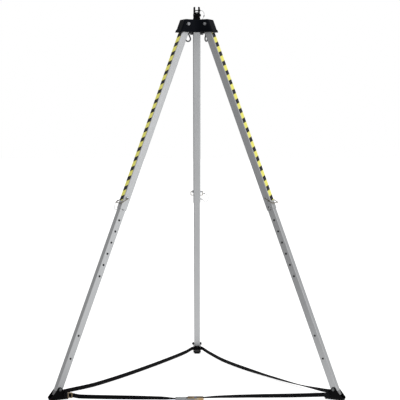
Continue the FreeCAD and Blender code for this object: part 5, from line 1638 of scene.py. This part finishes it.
@dataclass
class Studio:
    """Plain pale floor, soft light and the camera of the photograph."""

    lens: float = 99.875
    eye: tuple[float, float, float] = (0.01235, -7.08360, 1.54539)
    pitch: float = 0.05986
    yaw: float = -0.00111
    roll: float = -0.00040
    floor_half: float = 60.0
    dim_side: float = 0.34
    bright_side: float = 0.89

    def build(self) -> None:
        """Set floor, world, lights and camera."""
        self.floor()
        self.world()
        self.lights()
        self.camera()

    def floor(self) -> None:
        """Wide pale floor under the feet."""
        Bench.clear()
        bpy.ops.mesh.primitive_plane_add(size=self.floor_half * 2, location=(0, 0, -0.0002))
        floor = bpy.context.object
        floor.name = "studio_floor"
        material = bpy.data.materials.new("pale_floor")
        material.use_nodes = True
        board = NodeBoard(material.node_tree)
        seen = board.add("BsdfPrincipled", {"Base Color": (0.9, 0.9, 0.9, 1), "Roughness": 0.9,
                                            "Emission Color": (1, 1, 1, 1), "Emission Strength": 0.72})
        seen.inputs["Specular IOR Level"].default_value = 0.0
        place = board.add("SeparateXYZ", {0: board.add("TexCoord").outputs["Object"]})
        glow = board.add("MapRange", {0: place.outputs[0], 1: -0.8, 2: 0.0, 3: self.dim_side, 4: self.bright_side})
        mirrored = board.add("Emission", {"Color": (1, 1, 1, 1), "Strength": glow.outputs[0]})
        path = board.add("LightPath")
        mixed = board.add("MixShader", {0: path.outputs["Is Camera Ray"], 1: mirrored.outputs[0],
                                        2: seen.outputs[0]})
        board.add("OutputMaterial", {0: mixed.outputs[0]})
        dress(floor, material)

    def world(self) -> None:
        """White surroundings: an even backdrop that lights the tripod more from the right than the left."""
        world = bpy.data.worlds.new("white_room")
        bpy.context.scene.world = world
        world.use_nodes = True
        board = NodeBoard(world.node_tree)
        path = board.add("LightPath")
        way = board.add("SeparateXYZ", {0: board.add("TexCoord").outputs["Generated"]})
        middle = board.add("MapRange", {0: way.outputs[1], 1: -0.55, 2: 0.6, 3: 0.55, 4: 0.49})
        lean = board.add("MapRange", {0: way.outputs[1], 1: -0.55, 2: 0.6, 3: 0.25, 4: 0.07})
        strength = board.math("ADD", middle.outputs[0], board.math("MULTIPLY", way.outputs[0], lean.outputs[0]))
        lit = board.add("Background", {"Color": (1, 1, 1, 1), "Strength": strength})
        seen = board.add("Background", {"Color": (1, 1, 1, 1), "Strength": 1.0})
        mixed = board.add("MixShader", {0: path.outputs["Is Camera Ray"], 1: lit.outputs[0], 2: seen.outputs[0]})
        board.add("OutputWorld", {0: mixed.outputs[0]})

    def lights(self) -> None:
        """Weak soft key from the front right, a weaker light from above and a card at the right side."""
        self.area("key", (3.6, -5.0, 4.2), 3.2, 24.0)
        self.area("top", (0.4, 1.2, 5.4), 3.0, 20.0)
        self.area("side_card", (3.85, -3.35, 1.5), 1.2, 7.0)
        bpy.context.scene.view_settings.view_transform = "Standard"

    def area(self, name: str, place: tuple[float, float, float], size: float, power: float) -> None:
        """Add one square area light that looks at the tripod's middle."""
        data = bpy.data.lights.new(f"soft_{name}", "AREA")
        data.energy = power
        data.size = size
        light = bpy.data.objects.new(f"soft_{name}", data)
        light.location = place
        way = Vector((0, -0.2, 1.1)) - Vector(place)
        light.rotation_mode = "QUATERNION"
        light.rotation_quaternion = way.to_track_quat("-Z", "Y")
        light.visible_camera = False
        bpy.context.scene.collection.objects.link(light)

    def camera(self) -> None:
        """Camera at the photograph's place, height and lens."""
        data = bpy.data.cameras.new("photo_camera")
        data.lens = self.lens
        data.sensor_width = 36.0
        data.clip_end = 300.0
        camera = bpy.data.objects.new("photo_camera", data)
        turn = Matrix.Rotation(self.yaw, 4, "Z") @ Matrix.Rotation(math.pi / 2 - self.pitch, 4, "X")
        turn = turn @ Matrix.Rotation(self.roll, 4, "Z")
        camera.matrix_world = Matrix.Translation(self.eye) @ turn
        bpy.context.scene.collection.objects.link(camera)
        bpy.context.scene.camera = camera


def main() -> None:
    """Build the scene, one sub-assembly after another."""
    logging.basicConfig(level=logging.INFO, format="%(name)s: %(message)s")
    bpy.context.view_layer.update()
    Studio().build()
    places = {side: LegPlace(side) for side in Side}
    shelf = Shelf(places)
    LOG.info("head: %s", Head(places, shelf).build())
    for place in places.values():
        LOG.info("leg %s: %s", place.side.value, Leg(place, shelf).build())
    LOG.info("webbing: %s", FootWebbing(places, shelf).build())
    bpy.context.view_layer.update()


if __name__ == "__main__":
    main()
